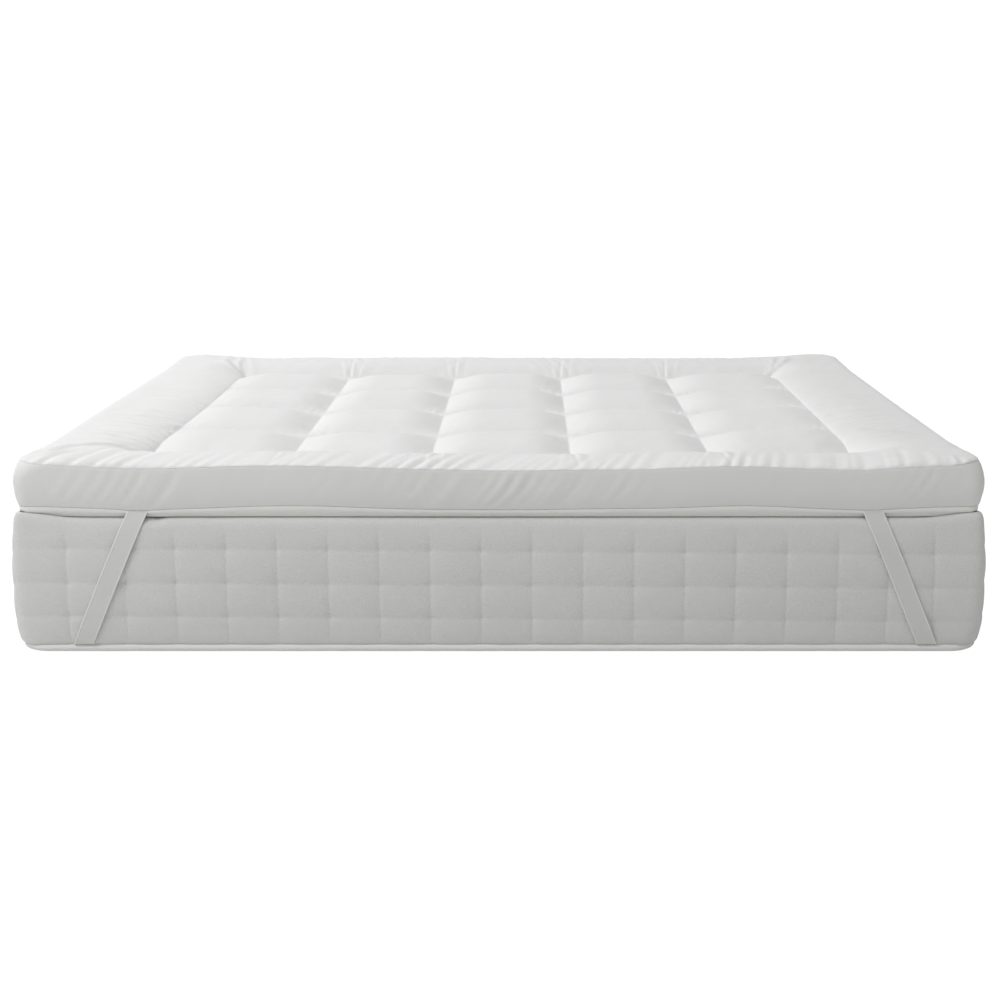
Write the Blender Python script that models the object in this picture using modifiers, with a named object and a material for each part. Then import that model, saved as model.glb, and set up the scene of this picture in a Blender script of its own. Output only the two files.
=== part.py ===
"""A quilted mattress topper, held by elastic corner straps on a plain mattress.

Metres, +Z up. The origin is on the floor under the middle of the mattress. The
long sides run along X, and -Y is the long side that faces the viewer.

The topper is one filled pad, sewn into five by four pillows inside a wide plain
border. A side band and a bottom panel with a turned-up lip cover the pad's
sides and underside. Each elastic strap starts behind the foot of the band, runs
down one side of the mattress, passes behind the piping and under the corner,
and comes up the next side.
"""

import math

import bmesh
import bpy
from mathutils import Vector

NAME = "mattress_topper_on_mattress"

# ---- driving sizes ---------------------------------------------------------
LENGTH = 2.00              # of the mattress, along X
DEPTH = 1.60               # along Y
HALF_X = LENGTH / 2
HALF_Y = DEPTH / 2
RECESS = 0.012             # the topper ends this far inside the mattress's side
TOPPER_X = HALF_X - RECESS
TOPPER_Y = HALF_Y - RECESS
GAP = 0.0003               # between pieces that touch

COLUMNS = 5                # pillows along X
ROWS = 4                   # pillows along Y
BORDER = 0.223             # from the edge to the panel of pillows
PANEL_X = TOPPER_X - BORDER
PANEL_Y = TOPPER_Y - BORDER

MATTRESS_TOP = 0.286
MATTRESS_RADIUS = 0.030    # corner, seen from above
FOOT_RADIUS = 0.060        # the mattress's corners grow rounder toward the floor
FOOT_TURN = 0.080          # from this height down
TOPPER_RADIUS = 0.030
RIM_RADIUS = 0.042         # the topper's corners are rounder at its upper seam
BASE_RADIUS = 0.040        # and at its foot

BAND_FOOT = 0.3042         # lower seam of the side band, along the middle
BAND_TOP = 0.3876          # upper seam of the side band, along the middle
BAND_FOOT_LIFT = 0.0085    # how far each seam climbs at the corners
BAND_TOP_LIFT = 0.0122
LIFT_REACH = 0.300         # how far from a corner the lift begins
BACK_DROP = 0.005          # the back edge lies this much lower than the front edge
BAND_BULGE_AT = 0.55       # share of the band's height where it is widest
BULGE_POWER = 2.2
BAND_FOOT_INSET = 0.0080   # the lower seam lies this far inside the widest line
EDGE_INSET = 0.0055        # and the upper seam this far

CROWN = 0.3925             # top of the plain border, along the middle
CROWN_LIFT = 0.0115        # the corners stand higher by this
ROLL_WIDTH = 0.115         # the top rolls down to its edge over this width
ROLL_POWER = 8
SEAM_HEIGHT = 0.3565       # bottom of the sewn channels
SEAM_RISE = 0.0185         # they climb by this at the two ends of the panel
SEAM_FADE = 0.8            # but less by this share at the panel's corners
PILLOW_CROWN = 0.3825
PILLOW_RISE = 0.4          # share of the seams' climb that the pillows take
PILLOW_SLOPE = 0.100       # a pillow sinks to its seams over this width
PILLOW_UNEVEN = 0.0016     # the filling lies a little higher here and lower there
CHANNEL_SLOPE = 0.100      # the long borders sink to the panel's seam over this width
END_SLOPE = 0.150          # and the end borders over this

CLOTH = 0.0025             # side band
BASE_CLOTH = 0.0020
WEBBING = 0.0015
WEBBING_WIDTH = 0.038
PAD_SIDE_CLEARANCE = 0.0036   # the band's thickness and a little air
LIP_INSET = 0.0120
PAD_FOOT_INSET = 0.0170
PAD_FLOOR = MATTRESS_TOP + 2 * GAP + BASE_CLOTH
STRAP_TOP_INSET = 0.0100   # from the topper's widest line, in front of the lip
STRAP_TOUCHES = 0.2755     # from here down a strap lies on the mattress
STRAP_TURN = 0.0012        # bevel where a strap turns over the piping

PIPING_RADIUS = 0.0070
PIPING_INSET = 0.0170      # its centre line
PIPING_FLOOR = 0.0058      # it hangs clear of the floor
REBATE_INSET = 0.0366      # the mattress is cut back behind the piping
REBATE_HEIGHT = 0.0222
CORNER_RELIEF = 0.0024     # the underside is lifted where a strap passes
CORNER_RELIEF_LEG = 0.222

# Outlines seen from above: half length, half depth, corner radius.
TOPPER = (TOPPER_X, TOPPER_Y, TOPPER_RADIUS)
TOPPER_RIM = (TOPPER_X, TOPPER_Y, RIM_RADIUS)
TOPPER_BASE = (TOPPER_X, TOPPER_Y, BASE_RADIUS)
MATTRESS_FOOT = (HALF_X, HALF_Y, FOOT_RADIUS)

# ---- short tables ----------------------------------------------------------
# Distances of the pad's mesh lines from its edge, across the plain border.
BORDER_LINES = (EDGE_INSET, 0.010, 0.018, 0.030, 0.045, 0.080, 0.122, 0.163, 0.196, BORDER)

# The same across one pillow, as shares of its width.
PILLOW_LINES = (0.09, 0.26, 0.50, 0.74, 0.91, 1.0)

# Side of the mattress, floor to top: inset from its widest line, height.
MATTRESS_SIDE = (
    (REBATE_INSET, 0.0),
    (REBATE_INSET, REBATE_HEIGHT),
    (0.0050, REBATE_HEIGHT + 0.0006),
    (0.0030, 0.0262),
    (0.0010, 0.0340),
    (0.0000, 0.0500),
    (0.0000, 0.0800),
    (0.0003, 0.1200),
    (0.0009, 0.1640),
    (0.0026, 0.2040),
    (0.0045, 0.2290),
    (0.0071, 0.2500),
    (0.0099, 0.2650),
    (0.0128, 0.2750),
    (0.0168, 0.2815),
    (0.0243, 0.2850),
    (0.0322, MATTRESS_TOP),
)

# Shares of the band's height at which its mesh, and the pad's behind it, turn.
BAND_LINES = (0.0, 0.10, 0.28, BAND_BULGE_AT, 0.80, 0.92, 1.0)
PAD_SIDE_LINES = (0.25, 0.60)

# The pad's rounded foot: inset, height above its underside.
PAD_FOOT = ((0.0285, 0.0), (0.0220, 0.0006), (PAD_FOOT_INSET, 0.0040))

# Outer face of the bottom panel: inset, height above the mattress as a share of
# the way up to the band's foot.
LIP_PROFILE = (
    (0.0265, 0.000),
    (0.0190, 0.015),
    (0.0140, 0.130),
    (LIP_INSET, 0.400),
    (LIP_INSET, 0.650),
    (0.0133, 1.000),
)

# Corner straps: end of the long side, side of the bed, then how far from the
# mattress's corner the strap starts at the band and meets the piping.
STRAPS = (
    ("strap_front_left", -1, -1, 0.264, 0.145),
    ("strap_front_right", 1, -1, 0.236, 0.120),
    ("strap_back_right", 1, 1, 0.250, 0.134),
    ("strap_back_left", -1, 1, 0.256, 0.139),
)


# ---- scene and materials ---------------------------------------------------
def clear_scene():
    for item in list(bpy.data.objects):
        bpy.data.objects.remove(item, do_unlink=True)


def new_collection(name):
    group = bpy.data.collections.new(name)
    bpy.context.scene.collection.children.link(group)
    return group


def new_material(name, colour, roughness):
    material = bpy.data.materials.new(name)
    material.use_nodes = True
    shader = material.node_tree.nodes["Principled BSDF"]
    shader.inputs["Base Color"].default_value = (*colour, 1.0)
    shader.inputs["Roughness"].default_value = roughness
    shader.inputs["Metallic"].default_value = 0.0
    return material


def add_mesh(name, group, material, points, faces):
    mesh = bpy.data.meshes.new(name)
    mesh.from_pydata([tuple(point) for point in points], [], faces)
    mesh.materials.append(material)
    mesh.shade_smooth()
    mesh.set_sharp_from_angle(angle=math.radians(50))
    thing = bpy.data.objects.new(name, mesh)
    group.objects.link(thing)
    return thing


def thicken(thing, thickness, outward=False):
    """Give an open cloth surface its thickness, inward unless it is asked outward."""
    shell = thing.modifiers.new("cloth", "SOLIDIFY")
    shell.thickness = thickness
    shell.offset = 1.0 if outward else -1.0
    shell.use_even_offset = True


# ---- outline of the topper and the mattress ---------------------------------
def mesh_lines(half, pillows):
    """Mesh lines across the whole pad: border, pillows, border."""
    panel = half - BORDER
    pillow = 2 * panel / pillows
    lines = [distance - half for distance in BORDER_LINES]
    for index in range(pillows):
        start = -panel + index * pillow
        lines += [start + share * pillow for share in PILLOW_LINES]
    lines += [half - distance for distance in reversed(BORDER_LINES[:-1])]
    return lines


def outline_stations(across, along):
    """Points around the sharp outline, counter-clockwise seen from above."""
    loop = [(x, along[0]) for x in across[:-1]]
    loop += [(across[-1], y) for y in along[:-1]]
    loop += [(x, along[-1]) for x in reversed(across[1:])]
    loop += [(across[0], y) for y in reversed(along[1:])]
    return loop


def topper_stations():
    """Stations round the topper, at all of the pad's mesh lines."""
    return outline_stations(mesh_lines(TOPPER_X, COLUMNS), mesh_lines(TOPPER_Y, ROWS))


def border_lines(half):
    """The mesh lines of the two borders, without those of the pillows."""
    near = [distance - half for distance in BORDER_LINES]
    return near + [-position for position in reversed(near)]


def mattress_stations():
    """Stations round the mattress, which is straight between its corners."""
    return outline_stations(border_lines(HALF_X), border_lines(HALF_Y))


def moved_in(distance, inset):
    """Slide a line near the edge, so that the outermost line lies at the inset."""
    if distance >= BORDER:
        return distance
    return inset + (distance - EDGE_INSET) * (BORDER - inset) / (BORDER - EDGE_INSET)


def bent(x, y, outline):
    """Bend the corner squares of the sharp outline into quarter circles."""
    half_x, half_y, radius = outline
    toward_x = 1 - (half_x - abs(x)) / radius
    toward_y = 1 - (half_y - abs(y)) / radius
    if toward_x <= 0 or toward_y <= 0:
        return x, y
    reach = max(toward_x, toward_y)
    angle = math.pi / 4 * min(toward_x, toward_y) / reach
    if toward_y > toward_x:
        angle = math.pi / 2 - angle
    out_x = half_x - radius + radius * reach * math.cos(angle)
    out_y = half_y - radius + radius * reach * math.sin(angle)
    return math.copysign(out_x, x), math.copysign(out_y, y)


def outline_point(x, y, inset, outline):
    """A station's place on the rounded outline that lies inset from the widest one."""
    half_x, half_y, _ = outline
    slid_x = math.copysign(half_x - moved_in(half_x - abs(x), inset), x)
    slid_y = math.copysign(half_y - moved_in(half_y - abs(y), inset), y)
    return bent(slid_x, slid_y, outline)


def ring(stations, inset, outline, height):
    """One closed loop of points. The height is a function of the station."""
    points = []
    for x, y in stations:
        placed_x, placed_y = outline_point(x, y, inset, outline)
        points.append(Vector((placed_x, placed_y, height(x, y))))
    return points


def level(height):
    """A height that is the same at every station."""
    return lambda x, y: height


def loft_faces(count, rings):
    """Quads between rings of the same count, listed from the lowest ring up."""
    faces = []
    for step in range(rings - 1):
        low = step * count
        for index in range(count):
            following = (index + 1) % count
            faces.append((low + index, low + following, low + count + following, low + count + index))
    return faces


# ---- heights that change around the topper ----------------------------------
def smooth(share):
    """0 below 0, 1 above 1, and a smooth rise between."""
    share = min(max(share, 0.0), 1.0)
    return share * share * (3 - 2 * share)


def corner_lift(x, y):
    """1 at a corner, falling smoothly to 0 along both sides."""
    along = max(TOPPER_X - abs(x), TOPPER_Y - abs(y))
    return smooth(1 - along / LIFT_REACH)


def back_drop(y):
    """How much lower the back border lies, growing from its seam to its edge."""
    return BACK_DROP * min(max((y - PANEL_Y) / BORDER, 0.0), 1.0)


def band_foot(x, y):
    return BAND_FOOT + BAND_FOOT_LIFT * corner_lift(x, y)


def band_top(x, y):
    return BAND_TOP + BAND_TOP_LIFT * corner_lift(x, y) - back_drop(y)


def band_inset(share):
    """How far the band lies inside its widest line, at a share of its height."""
    if share < BAND_BULGE_AT:
        return BAND_FOOT_INSET * (1 - share / BAND_BULGE_AT) ** BULGE_POWER
    return EDGE_INSET * ((share - BAND_BULGE_AT) / (1 - BAND_BULGE_AT)) ** BULGE_POWER


def band_outline(share):
    """The band's outline at a share of its height: rounder corners toward the upper seam."""
    above = max(0.0, (share - BAND_BULGE_AT) / (1 - BAND_BULGE_AT))
    return TOPPER_X, TOPPER_Y, TOPPER_RADIUS + (RIM_RADIUS - TOPPER_RADIUS) * above ** 2


def band_height(share):
    return lambda x, y: band_foot(x, y) + share * (band_top(x, y) - band_foot(x, y))


def seam_distance(position, panel, pillows):
    """How far a place across the panel lies from the nearest sewn seam."""
    cell = 2 * panel / pillows
    inside = (position + panel) % cell
    return min(inside, cell - inside)


def seam_height(x, y):
    """Bottom of the sewn channels: higher along the panel's two ends, but not at its corners."""
    pillow_x = 2 * PANEL_X / COLUMNS
    half_pillow_y = PANEL_Y / ROWS
    rise = smooth((abs(x) - PANEL_X + pillow_x) / pillow_x)
    fade = smooth((abs(y) - PANEL_Y + half_pillow_y) / half_pillow_y)
    return SEAM_HEIGHT + SEAM_RISE * rise * (1 - SEAM_FADE * fade)


def sunk(distance, slope):
    """1 at a seam, falling to 0 at the slope's width from it."""
    return (1 - min(distance / slope, 1)) ** 2


def top_height(x, y):
    """Height of the quilted top over a point of the sharp outline."""
    beyond_x = abs(x) - PANEL_X
    beyond_y = abs(y) - PANEL_Y
    seam = seam_height(x, y)
    if max(beyond_x, beyond_y) < 0:
        across = 1 - sunk(seam_distance(x, PANEL_X, COLUMNS), PILLOW_SLOPE)
        along = 1 - sunk(seam_distance(y, PANEL_Y, ROWS), PILLOW_SLOPE)
        uneven = PILLOW_UNEVEN * (math.sin(5.1 * x + 1.3) + math.sin(6.7 * y - 2.9 * x))
        crown = PILLOW_CROWN + PILLOW_RISE * (seam - SEAM_HEIGHT) + uneven
        return seam + (crown - seam) * across * along
    edge = min(TOPPER_X - abs(x), TOPPER_Y - abs(y)) - EDGE_INSET
    crown = CROWN + CROWN_LIFT * corner_lift(x, y) - back_drop(y)
    roll = (1 - min(edge / ROLL_WIDTH, 1)) ** ROLL_POWER
    height = crown - (crown - band_top(x, y) - GAP) * roll
    reach = math.hypot(max(0.0, beyond_x) / END_SLOPE, max(0.0, beyond_y) / CHANNEL_SLOPE)
    return height - (crown - seam) * sunk(reach, 1.0)


# ---- the topper's pieces -----------------------------------------------------
def make_pad(group, material):
    """The filled, quilted pad: one solid with a flat underside."""
    across = mesh_lines(TOPPER_X, COLUMNS)
    along = mesh_lines(TOPPER_Y, ROWS)
    stations = outline_stations(across, along)
    count = len(stations)

    def on_foot(x, y):
        return band_foot(x, y) + GAP

    def under_roll(x, y):
        return band_top(x, y) + GAP

    rings = []
    for inset, above in PAD_FOOT:
        rings.append(ring(stations, inset, TOPPER_BASE, level(PAD_FLOOR + above)))
    rings.append(ring(stations, PAD_FOOT_INSET, TOPPER_BASE, on_foot))
    rings.append(ring(stations, BAND_FOOT_INSET + PAD_SIDE_CLEARANCE, TOPPER, on_foot))
    for share in PAD_SIDE_LINES:
        inset = band_inset(share) + PAD_SIDE_CLEARANCE
        rings.append(ring(stations, inset, band_outline(share), band_height(share)))
    rings.append(ring(stations, EDGE_INSET + PAD_SIDE_CLEARANCE, TOPPER_RIM, under_roll))
    points = [point for loop in rings for point in loop]
    faces = loft_faces(count, len(rings))
    faces.append(tuple(reversed(range(count))))

    first_top = len(points)
    for y in along:
        for x in across:
            placed_x, placed_y = bent(x, y, TOPPER_RIM)
            points.append(Vector((placed_x, placed_y, top_height(x, y))))

    def top_index(column, row):
        return first_top + row * len(across) + column

    last_column, last_row = len(across) - 1, len(along) - 1
    for row in range(last_row):
        for column in range(last_column):
            faces.append((top_index(column, row), top_index(column + 1, row),
                          top_index(column + 1, row + 1), top_index(column, row + 1)))

    rim = [top_index(column, 0) for column in range(last_column)]
    rim += [top_index(last_column, row) for row in range(last_row)]
    rim += [top_index(column, last_row) for column in range(last_column, 0, -1)]
    rim += [top_index(0, row) for row in range(last_row, 0, -1)]
    below = (len(rings) - 1) * count
    for index in range(count):
        following = (index + 1) % count
        faces.append((below + index, below + following, rim[following], rim[index]))
    return add_mesh("topper_pad", group, material, points, faces)


def make_side_band(group, material):
    """The boxed side of the topper: one strip of cloth, joined into a ring."""
    stations = topper_stations()
    rings = []
    for share in BAND_LINES:
        rings.append(ring(stations, band_inset(share), band_outline(share), band_height(share)))
    points = [point for loop in rings for point in loop]
    band = add_mesh("topper_side_band", group, material, points, loft_faces(len(stations), len(rings)))
    thicken(band, CLOTH)
    return band


def make_base_panel(group, material):
    """The cloth under the topper, with its edge turned up into a soft lip."""
    stations = topper_stations()
    count = len(stations)
    floor = MATTRESS_TOP + GAP

    def lip_height(share):
        return lambda x, y: floor + share * (band_foot(x, y) - 2 * GAP - floor)

    rings = [ring(stations, inset, TOPPER_BASE, lip_height(share)) for inset, share in LIP_PROFILE]
    points = [point for loop in rings for point in loop]
    faces = loft_faces(count, len(rings))
    faces.append(tuple(reversed(range(count))))
    panel = add_mesh("topper_base_panel", group, material, points, faces)
    thicken(panel, BASE_CLOTH)
    return panel


# ---- the mattress ------------------------------------------------------------
def mattress_outline(height):
    """The mattress's outline at a height: rounder corners toward the floor."""
    share = smooth((height - REBATE_HEIGHT) / (FOOT_TURN - REBATE_HEIGHT))
    return HALF_X, HALF_Y, FOOT_RADIUS + (MATTRESS_RADIUS - FOOT_RADIUS) * share


def relief_cutter(group, end, side):
    """A thin slab set across one corner, which lifts the underside over its strap."""
    leg = CORNER_RELIEF_LEG
    width = 3 * leg / math.sqrt(2)
    tool = bmesh.new()
    bmesh.ops.create_cube(tool, size=1.0)
    bmesh.ops.scale(tool, vec=(width, width, 2 * CORNER_RELIEF), verts=tool.verts)
    mesh = bpy.data.meshes.new("corner_relief")
    tool.to_mesh(mesh)
    tool.free()
    cutter = bpy.data.objects.new("corner_relief", mesh)
    outward = width / (2 * math.sqrt(2)) - leg / 2
    cutter.location = (end * (HALF_X + outward), side * (HALF_Y + outward), 0.0)
    cutter.rotation_euler = (0.0, 0.0, math.pi / 4)
    cutter.hide_render = True
    cutter.display_type = "WIRE"
    group.objects.link(cutter)
    return cutter


def make_mattress(group, cutters, material):
    """The mattress, plain: a soft box, cut back at the floor for its piping."""
    stations = mattress_stations()
    count = len(stations)
    rings = []
    for inset, height in MATTRESS_SIDE:
        rings.append(ring(stations, inset, mattress_outline(height), level(height)))
    points = [point for loop in rings for point in loop]
    faces = loft_faces(count, len(rings))
    faces.append(tuple(reversed(range(count))))
    faces.append(tuple(range((len(rings) - 1) * count, len(rings) * count)))
    body = add_mesh("mattress_body", group, material, points, faces)
    for end, side in ((-1, -1), (1, -1), (1, 1), (-1, 1)):
        cut = body.modifiers.new("corner_relief", "BOOLEAN")
        cut.operation = "DIFFERENCE"
        cut.solver = "EXACT"
        cut.object = relief_cutter(cutters, end, side)
    return body


def make_piping(group, material):
    """The round piping along the mattress's lower edge: a closed tube."""
    stations = mattress_stations()
    height = PIPING_FLOOR + PIPING_RADIUS
    curve = bpy.data.curves.new("mattress_bottom_piping", "CURVE")
    curve.dimensions = "3D"
    curve.bevel_depth = PIPING_RADIUS
    curve.bevel_resolution = 3
    path = curve.splines.new("POLY")
    path.points.add(len(stations) - 1)
    for point, place in zip(path.points, ring(stations, PIPING_INSET, MATTRESS_FOOT, level(height))):
        point.co = (*place, 1.0)
    path.use_cyclic_u = True
    curve.materials.append(material)
    tube = bpy.data.objects.new("mattress_bottom_piping", curve)
    group.objects.link(tube)
    return tube


# ---- the straps ----------------------------------------------------------------
def strap_rows(start, foot):
    """The strap's inner face, from the band down one side and behind the piping.

    Each row is the distance of its middle from the mattress's corner, inset, height.
    """
    strap_top = BAND_FOOT - 4 * GAP
    over_piping = REBATE_HEIGHT - GAP
    behind = REBATE_INSET - GAP
    rows = [(start, RECESS + STRAP_TOP_INSET, strap_top)]
    for inset, height in reversed(MATTRESS_SIDE[2:]):
        if height <= STRAP_TOUCHES:
            share = (strap_top - height) / (strap_top - REBATE_HEIGHT)
            rows.append((start + share * (foot - start), inset - 2 * GAP, height))
    rows += [
        (foot, MATTRESS_SIDE[2][0] + GAP, over_piping),
        (foot, behind - STRAP_TURN, over_piping),
        (foot, behind, over_piping - STRAP_TURN),
        (foot, behind, CORNER_RELIEF - GAP),
        (foot, behind + 5 * STRAP_TURN, CORNER_RELIEF - GAP),
    ]
    return rows


def strap_edges(row, half, along_x, end, side):
    """The two edge points of a strap's row, the one near the corner first."""
    middle, inset, height = row
    edges = []
    for distance in (middle - half, middle + half):
        if along_x:
            edges.append(Vector((end * (HALF_X - distance), side * (HALF_Y - inset), height)))
        else:
            edges.append(Vector((end * (HALF_X - inset), side * (HALF_Y - distance), height)))
    return edges


def make_strap(group, material, name, end, side, start, foot):
    """One elastic strap around a corner of the mattress."""
    down = strap_rows(start, foot)
    lean = math.atan2(start - foot, BAND_FOOT - REBATE_HEIGHT)
    half = WEBBING_WIDTH / math.cos(lean) / 2
    pairs = [strap_edges(row, half, True, end, side) for row in down]
    pairs += [strap_edges(row, half, False, end, side) for row in reversed(down)]
    points = [point for pair in pairs for point in pair]
    faces = []
    for index in range(len(pairs) - 1):
        low = 2 * index
        quad = (low, low + 1, low + 3, low + 2)
        faces.append(quad if end * side < 0 else tuple(reversed(quad)))
    strap = add_mesh(name, group, material, points, faces)
    thicken(strap, WEBBING, outward=True)
    return strap


def main():
    clear_scene()
    parts = new_collection(NAME)
    cutters = new_collection("cutters")
    make_pad(parts, new_material("quilted_cotton", (0.86, 0.86, 0.85), 0.85))
    make_side_band(parts, new_material("band_cotton", (0.80, 0.80, 0.78), 0.88))
    make_base_panel(parts, new_material("base_cotton", (0.74, 0.74, 0.70), 0.90))
    make_mattress(parts, cutters, new_material("mattress_knit", (0.70, 0.70, 0.68), 0.95))
    make_piping(parts, new_material("piping_tape", (0.76, 0.76, 0.74), 0.90))
    webbing = new_material("elastic_webbing", (0.72, 0.72, 0.69), 0.85)
    for name, end, side, start, foot in STRAPS:
        make_strap(parts, webbing, name, end, side, start, foot)


main()
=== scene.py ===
"""Finished look of a quilted mattress topper, strapped to a plain mattress.

Metres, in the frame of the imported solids: +Z up, the long sides along X, and -Y
is the long side that faces the viewer. Each cloth piece is a surface worked out
with numpy over the solid that it stands for.
"""

from functools import reduce
import math

import bpy
import numpy as np
from bpy.props import FloatProperty, FloatVectorProperty, PointerProperty
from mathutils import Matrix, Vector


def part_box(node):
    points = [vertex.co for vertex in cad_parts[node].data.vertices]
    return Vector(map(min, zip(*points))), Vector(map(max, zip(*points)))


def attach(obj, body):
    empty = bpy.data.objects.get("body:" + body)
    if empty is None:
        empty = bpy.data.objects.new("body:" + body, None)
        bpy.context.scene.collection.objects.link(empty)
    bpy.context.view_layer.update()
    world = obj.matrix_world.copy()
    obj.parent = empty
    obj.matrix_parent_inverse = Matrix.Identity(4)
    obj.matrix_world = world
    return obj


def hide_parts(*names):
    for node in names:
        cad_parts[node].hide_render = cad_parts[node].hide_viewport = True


bl_info = {
    "name": "Quilted mattress topper",
    "version": (1, 0, 0),
    "blender": (4, 5, 0),
    "location": "View3D > Sidebar > Topper",
    "description": "Cloth pieces of a quilted topper and its mattress, built over their solids",
    "category": "Object",
}

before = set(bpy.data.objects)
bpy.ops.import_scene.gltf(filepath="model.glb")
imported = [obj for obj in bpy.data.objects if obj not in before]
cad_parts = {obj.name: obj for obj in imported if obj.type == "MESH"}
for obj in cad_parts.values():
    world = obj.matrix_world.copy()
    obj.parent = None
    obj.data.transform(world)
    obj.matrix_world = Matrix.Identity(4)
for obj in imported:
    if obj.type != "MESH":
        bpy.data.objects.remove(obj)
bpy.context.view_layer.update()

# ---- sizes that the solids have
HALF_X, HALF_Y, MATTRESS_TOP = (round(value, 4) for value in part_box("mattress_body")[1])
GAP = 0.0003

RECESS = 0.012
TOPPER_X = HALF_X - RECESS
TOPPER_Y = HALF_Y - RECESS

COLUMNS = 5
ROWS = 4
BORDER = 0.223
PANEL_X = TOPPER_X - BORDER
PANEL_Y = TOPPER_Y - BORDER

# Outlines seen from above: half length, half depth, corner radius.
TOPPER = (TOPPER_X, TOPPER_Y, 0.030)
TOPPER_RIM = (TOPPER_X, TOPPER_Y, 0.080)
TOPPER_BASE = (TOPPER_X, TOPPER_Y, 0.034)
MATTRESS = (HALF_X, HALF_Y, 0.030)
MATTRESS_FOOT = (HALF_X, HALF_Y, 0.046)
PIPING_LINE = (HALF_X, HALF_Y, 0.070)
FOOT_TURN = 0.080

BAND_FOOT = 0.3042
BAND_TOP = 0.3876
BAND_FOOT_LIFT = 0.0070
BAND_TOP_LIFT = 0.0122
LIFT_REACH = 0.300
BACK_DROP = 0.005
BAND_BULGE_AT = 0.55
BULGE_POWER = 2.2
BAND_FOOT_INSET = 0.0080
EDGE_INSET = 0.0026

CROWN = 0.3925
CROWN_LIFT = 0.0115
SEAM_HEIGHT = 0.3565
SEAM_RISE = 0.0185
SEAM_FADE = 0.8
PILLOW_CROWN = 0.3825
PILLOW_RISE = 0.4
PILLOW_SLOPE = 0.100
CHANNEL_SLOPE = 0.100
END_SLOPE = 0.120
SEAM_BOW = 0.011

CLOTH = 0.0025
BASE_CLOTH = 0.0020
WEBBING = 0.0015
WEBBING_WIDTH = 0.038
PAD_SIDE_CLEARANCE = 0.0036
PAD_FOOT_INSET = 0.0170
PAD_FLOOR = MATTRESS_TOP + 2 * GAP + BASE_CLOTH
STRAP_TOP_INSET = 0.0100
STRAP_TOUCHES = 0.2755
STRAP_DRAW = 0.0030

PIPING_RADIUS = 0.0084
PIPING_INSET = 0.0118
PIPING_FLOOR = 0.0052
REBATE_INSET = 0.0366
REBATE_HEIGHT = 0.0222
CORNER_RELIEF = 0.0024
CORNER_RELIEF_LEG = 0.222

# Side of the mattress above its piping: inset from the widest line, height.
MATTRESS_SIDE = np.array((
    (0.0155, 0.0192), (0.0088, 0.0204), (0.0043, 0.0248), (0.0022, 0.0340), (0.0008, 0.0540),
    (0.0000, 0.0900), (0.0003, 0.1200), (0.0009, 0.1640), (0.0026, 0.2040), (0.0045, 0.2290),
    (0.0071, 0.2500), (0.0099, 0.2650), (0.0128, 0.2750), (0.0168, 0.2815), (0.0243, 0.2850),
    (0.0322, 0.2860)))
MATTRESS_ROWS = 78             # points carried up this side
UNDERSIDE_INSETS = (0.180, 0.150, 0.120, 0.095, 0.075, 0.055, REBATE_INSET)

# Outer face of the bottom panel: inset, share of the way up to the band's foot.
LIP_HEIGHT = 0.0155
LIP_ROWS = 22
LIP_PROFILE = np.array((
    (0.0265, 0.000), (0.0205, 0.015), (0.0165, 0.100), (0.0155, 0.300), (0.0140, 0.420), (0.0102, 0.530),
    (0.0080, 0.680), (0.0077, 0.800), (0.0080, 0.900), (0.0088, 0.980), (0.0100, 1.030)))

# Corner straps: end of the long side, side of the bed, distance from the corner
# at the band and at the piping.
STRAPS = (
    ("strap_front_left", -1, -1, 0.267, 0.145),
    ("strap_front_right", 1, -1, 0.240, 0.120),
    ("strap_back_right", 1, 1, 0.250, 0.134),
    ("strap_back_left", -1, 1, 0.256, 0.139),
)

# ---- meshes: stations and steps
BAND_STEP, PANEL_STEP, PIPING_STEP, STRAP_STEP = 0.0072, 0.0100, 0.0105, 0.0060
BAND_CLOTH_HEIGHT = 0.092      # height of the band's cloth, with its bulge
BORDER_STEPS_X, PILLOW_STEPS_X = 50, 58
BORDER_STEPS_Y, PILLOW_STEPS_Y = 44, 36
ROLL_TURN = 1.8                # angle in radians that the cloth turns over the rim
ROLL_LENGTH = 0.0115           # and the length over which most of it turns
RIM_TUCK = 0.0006              # the rim is drawn in under its own roll
# Painted shade in the creases: as deep in a crease as this, the colour is painted at its darkest.
FULL_CREASE_SHADE_DEPTH = 0.0040          # as deep in a crease as this, the cloth is at its darkest

# Bells along the front, in metres: height, middle, spread. See near.
FOOT_WAVES = ((0.0085, -0.42, 0.19), (0.0085, 0.497, 0.14), (0.0025, 0.245, 0.12))
RIM_WAVES = ((0.0084, -0.45, 0.22), (0.0070, 0.475, 0.13), (-0.0020, 0.03, 0.10), (-0.0020, 0.74, 0.05),
             (-0.0020, 0.90, 0.06))
CORNER_SWELLS = ((0.0062, -0.80, 0.17), (0.0045, 0.82, 0.17))

# Bells without a unit: how much stronger folds are at some places, over an even strength.
EVEN_GATHERS, STRONGER_GATHERS = 0.75, ((0.8, -0.82, 0.16), (0.35, 0.0, 0.20), (0.5, 0.60, 0.25),
                                        (0.25, -0.40, 0.18))
EVEN_UNDULATIONS, STRONGER_UNDULATIONS = 0.40, ((1.0, 0.02, 0.20), (0.8, -0.72, 0.08))

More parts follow.
